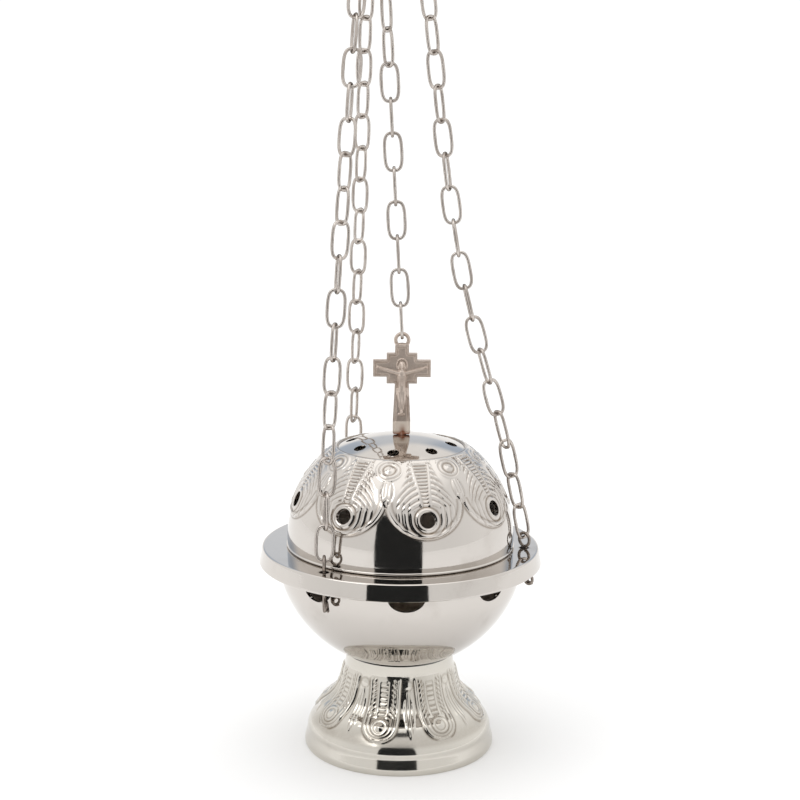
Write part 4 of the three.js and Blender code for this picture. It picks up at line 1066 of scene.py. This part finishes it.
def link_run(joints, outward, rolls, start_reach, end_reach):
    """Links from joint to joint, each rolled about its own length and pressed into its neighbours."""
    links = []
    inner = WIRE_RADIUS - PRESSED
    for i in range(len(joints) - 1):
        back = start_reach if i == 0 else inner
        on = end_reach if i == len(joints) - 2 else inner
        along = joints[i + 1] - joints[i]
        length = np.linalg.norm(along) + back + on
        along = unit(along)
        side = unit(np.cross(along, outward))
        out = np.cross(side, along)
        roll = math.radians(rolls[i])
        width = out * math.cos(roll) + side * math.sin(roll)
        centre = (joints[i] + joints[i + 1]) / 2 + along * (on - back) / 2
        links.append(moved(link(length), [width, np.cross(along, width), along], centre))
    return joined(*links)


for azimuth, (name, (knee, middle, slack, roll, twist)) in zip(PIN_AZIMUTHS, CHAINS.items()):
    outward = around(azimuth, 1)
    low = around(azimuth, PIN_RADIUS, HANG_Z)
    high = around(azimuth, CANOPY_PIN_RADIUS, CANOPY_Z - HANG_Z) + CANOPY_SHIFT
    knee_point = low + (high - low) * KNEE_SHARE + outward * knee
    middle_point = low + (high - low) * 0.5 + outward * middle
    samples, reach = hanging_curve([low, knee_point, middle_point, high])
    count = round(reach[-1] / LINK_PITCH)
    order = np.arange(len(reach))
    joints = read_along(samples, order, np.interp(np.linspace(0, reach[-1], count + 1), reach, order))
    step = 90 + twist / count
    rolls = [roll + step * i for i in range(count)]
    knee_reach = WIRE_RADIUS + slack / 2
    lower = link_run(joints[:LOWER_LINKS + 1], outward, rolls[:LOWER_LINKS], 0, knee_reach)
    upper = link_run(joints[LOWER_LINKS:], outward, rolls[LOWER_LINKS:], knee_reach, 0)
    for end, run in (("lower", lower), ("upper", upper)):
        piece(f"links_{name}_{end}", run, chain_metal, f"chain_{name}_{end}", f"chain_{name}_{end}")
    lower_pin = moved(lower_fastener(), turn_z(azimuth + roll), around(azimuth, PIN_RADIUS))
    seat = around(azimuth, CANOPY_PIN_RADIUS, CANOPY_Z) + CANOPY_SHIFT
    upper_pin = moved(upper_fastener(), turn_z(azimuth + rolls[-1]), seat)
    for end, pin in (("lower", lower_pin), ("upper", upper_pin)):
        piece(f"hook_{name}_{end}", pin, pin_metal, "censer", f"{end}_pin_{name}")

# Lifting chain, whose last three links each turn by 120 degrees in place of 90, and its ring

LUG_TOP = CROSS_Z + 38.6
RING_RADIUS = 8.2
RING_WIRE = 0.9
RING_STEPS = 96
RING_Z = CANOPY_TOP_Z + SEAT_GAP + RING_WIRE
lift_low = np.array([0, 0, LUG_TOP - CONTACT_GAP - WIRE_RADIUS])
lift_high = np.array([CANOPY_X, 0, RING_Z + RING_WIRE + CONTACT_GAP + WIRE_RADIUS])
count = round(np.linalg.norm(lift_high - lift_low) / LINK_PITCH)
joints = lift_low + (lift_high - lift_low) * np.linspace(0, 1, count + 1)[:, None]
rolls = [90 * i + 30 * max(0, i + 4 - count) for i in range(count)]
piece("links_lifting", link_run(joints, np.array([0, -1.0, 0]), rolls, 0, 0), chain_metal, "lid", "lifting_chain")

swelling = 0.06 * ridge(np.arange(RING_STEPS) - RING_STEPS / 2, 1.2)
points, faces = bent(full_circle((-RING_RADIUS, 0), RING_RADIUS, RING_STEPS), RING_WIRE + swelling, loop=True, sides=18)
points = points[:, [0, 2, 1]] + np.array([CANOPY_X, 0, RING_Z])
piece("ring_pull", (points, [face[::-1] for face in faces]), chain_metal, "lifting_ring", "lifting_ring")

# Canopy with its two ears, and the bail

EAR_RADIUS = 3.5
EAR_HALF = 1.0


def ear(side):
    """A plate with a round top and a hole for the bail, its edges cut back by 0.3 all round."""
    base_z = CANOPY_TOP_Z - 0.7
    outer = np.vstack([[(-EAR_RADIUS, base_z), (EAR_RADIUS, base_z)],
                       circle((0, SWING_Z), EAR_RADIUS, 0, 180, 26)])
    outer = resampled(outer, 0.25, closed=True)
    middle = np.array([0, SWING_Z])
    inner = middle + unit(outer - middle) * (BAIL_RADIUS + 0.5)
    inner_cut = inner + unit(inner - middle) * 0.3
    outer_cut = outer - unit(outer - middle) * 0.3
    rings = [(inner, -0.7), (inner, 0.7), (inner_cut, EAR_HALF), (outer_cut, EAR_HALF),
             (outer, 0.7), (outer, -0.7), (outer_cut, -EAR_HALF), (inner_cut, -EAR_HALF)]
    points = [np.stack([line[:, 0], np.full(len(line), y + side * EAR_Y), line[:, 1]], 1) for line, y in rings]
    return np.vstack(points), grid_faces(len(rings), len(outer), closed=True)


def canopy():
    hole, inner = 5.58, 21.6
    line = rounded([(hole, CANOPY_Z, 0.3), (inner, CANOPY_Z, 0.4), (inner, CANOPY_Z - 3, 0.3),
                    (CANOPY_RADIUS, CANOPY_Z - 3, 0.4), (CANOPY_RADIUS, CANOPY_TOP_Z, 0.8), (20.2, CANOPY_TOP_Z, 0),
                    (19.9, CANOPY_TOP_Z - 0.12, 0), (19.6, CANOPY_TOP_Z, 0), (hole, CANOPY_TOP_Z, 0.35)], closed=True)
    plate = turned(resampled(line, 0.3, closed=True), 320, closed=True)
    plate = pierced(plate, pin_holes(CANOPY_PIN_RADIUS, CANOPY_Z - 5), 0.7)
    points, faces = joined(plate, ear(1), ear(-1))
    piece("canopy_cap", (points + CANOPY_SHIFT, faces), nickel, "censer", "canopy",
          hollow=shade_at_pins(points, CANOPY_PIN_RADIUS))


def bail():
    rise = BAIL_TOP_Z - SWING_Z - BAIL_RADIUS
    bend_z = rise - BAIL_LEG_Y
    left = rounded([(-EAR_Y + 1 + BAIL_RADIUS, 0, 0), (-BAIL_LEG_Y, 0, 1.6), (-BAIL_LEG_Y, bend_z, 0)], steps=10)
    arch = circle((0, bend_z), BAIL_LEG_Y, 180, 0, 60)
    path = resampled(np.vstack([left, arch, left[::-1] * np.array([-1, 1])]), 0.7)
    grip = ridge(path[:, 0], 6.5) * (path[:, 1] > rise - 6)
    points, faces = bent(path, BAIL_RADIUS - 0.06 * grip, sides=20)
    points = points[:, [1, 0, 2]] * np.array([-1, 1, 1])
    piece("bail_wire", (points + np.array([CANOPY_X, 0, SWING_Z]), faces), nickel, "bail", "bail")


canopy()
bail()

# Floor, studio surroundings, light and camera, in metres

FLOOR = (RIM_TOP[2] + FLOOR_Z) / 1000
FLOOR_HALF = 6
CARD_Y = -0.30
CARD_LEFT, CARD_RIGHT, CARD_TOP = -0.1256, 0.119, -0.05
CAMERA_PLACE = (0.00736, -0.64665, -0.08087)
CAMERA_DOWN = 11.334
CAMERA_ROLL = 0.5


def plane(name, corners, material):
    data = bpy.data.meshes.new(name)
    data.from_pydata(corners, [], [[0, 1, 2, 3]])
    data.materials.append(material)
    item = placed(name, data)
    return item


s = Shader("pale_floor")
grey = s.spread(s.noise(6, 3), 0.3, 0.7, 0.0, 1.0)
pale = s.finish(s.mix(grey, (0.955, 0.955, 0.955), (0.97, 0.97, 0.97)), 0.0, 0.95, s.bump(grey, 0.05, 0.05))
plane("floor", [(x * FLOOR_HALF, y * FLOOR_HALF, FLOOR) for x, y in ((-1, -1), (1, -1), (1, 1), (-1, 1))], pale)

# A dark card in front, which only reflections see
s = Shader("dark_card")
dark = s.finish((0.008, 0.009, 0.009, 1), 0.0, 1.0, s.bump(s.noise(20), 0.1, 0.1))
card = plane("dark_opening", [(CARD_LEFT, CARD_Y, FLOOR), (CARD_RIGHT, CARD_Y, FLOOR),
                              (CARD_RIGHT, CARD_Y, CARD_TOP), (CARD_LEFT, CARD_Y, CARD_TOP)], dark)
card.visible_camera = card.visible_diffuse = card.visible_shadow = card.visible_transmission = False

world = bpy.data.worlds.new("studio")
world.use_nodes = True
bpy.context.scene.world = world
s = Nodes(world.node_tree, False)
background = s.tree.nodes["Background"].inputs
way = s.add("SeparateXYZ", Vector=s.add("TexCoord").outputs["Generated"]).outputs
front = s.spread(way["Y"], -0.75, 0.35, 0.95, 1.07)
zenith = s.spread(way["Z"], 0.72, 0.93, 0.0, 0.5)
s.put(s.plus(front, zenith), background["Strength"])

# A cool grey wall low behind the censer, higher towards the left
slanted = s.plus(way["Z"], s.times(way["X"], 0.22))
wall = s.times(s.spread(way["Z"], 0.17, 0.30, 0.0, 1.0), s.spread(slanted, 0.48, 0.62, 1.0, 0.0))
wall = s.times(wall, s.spread(way["Y"], 0.5, 0.8, 0.0, 1.0))
wall = s.times(wall, s.spread(s.math("ABSOLUTE", way["X"], 0.0), 0.08, 0.2, 0.6, 1.0))
s.put(s.mix(wall, (1.0, 0.995, 0.985), (0.50, 0.57, 0.67)), background["Color"])

lamp = bpy.data.lights.new("soft_box", "AREA")
lamp.shape = "RECTANGLE"
lamp.size, lamp.size_y = 0.9, 0.5
lamp.energy = 2.5
lamp_item = placed("soft_box", lamp)
lamp_item.location = (-0.9, -0.7, 1.1)
lamp_item.rotation_euler = (Vector((0.0, 0.0, -0.25)) - lamp_item.location).to_track_quat("-Z", "Y").to_euler()

camera = bpy.data.cameras.new("camera")
camera.lens = 76.83
camera.sensor_width = 36
camera.sensor_fit = "HORIZONTAL"
camera_item = placed("camera", camera)
camera_item.matrix_world = (Matrix.Translation(CAMERA_PLACE)
                            @ Matrix.Rotation(math.radians(90 - CAMERA_DOWN), 4, "X")
                            @ Matrix.Rotation(math.radians(CAMERA_ROLL), 4, "Z"))
bpy.context.scene.camera = camera_item
bpy.context.scene.view_settings.view_transform = "Standard"
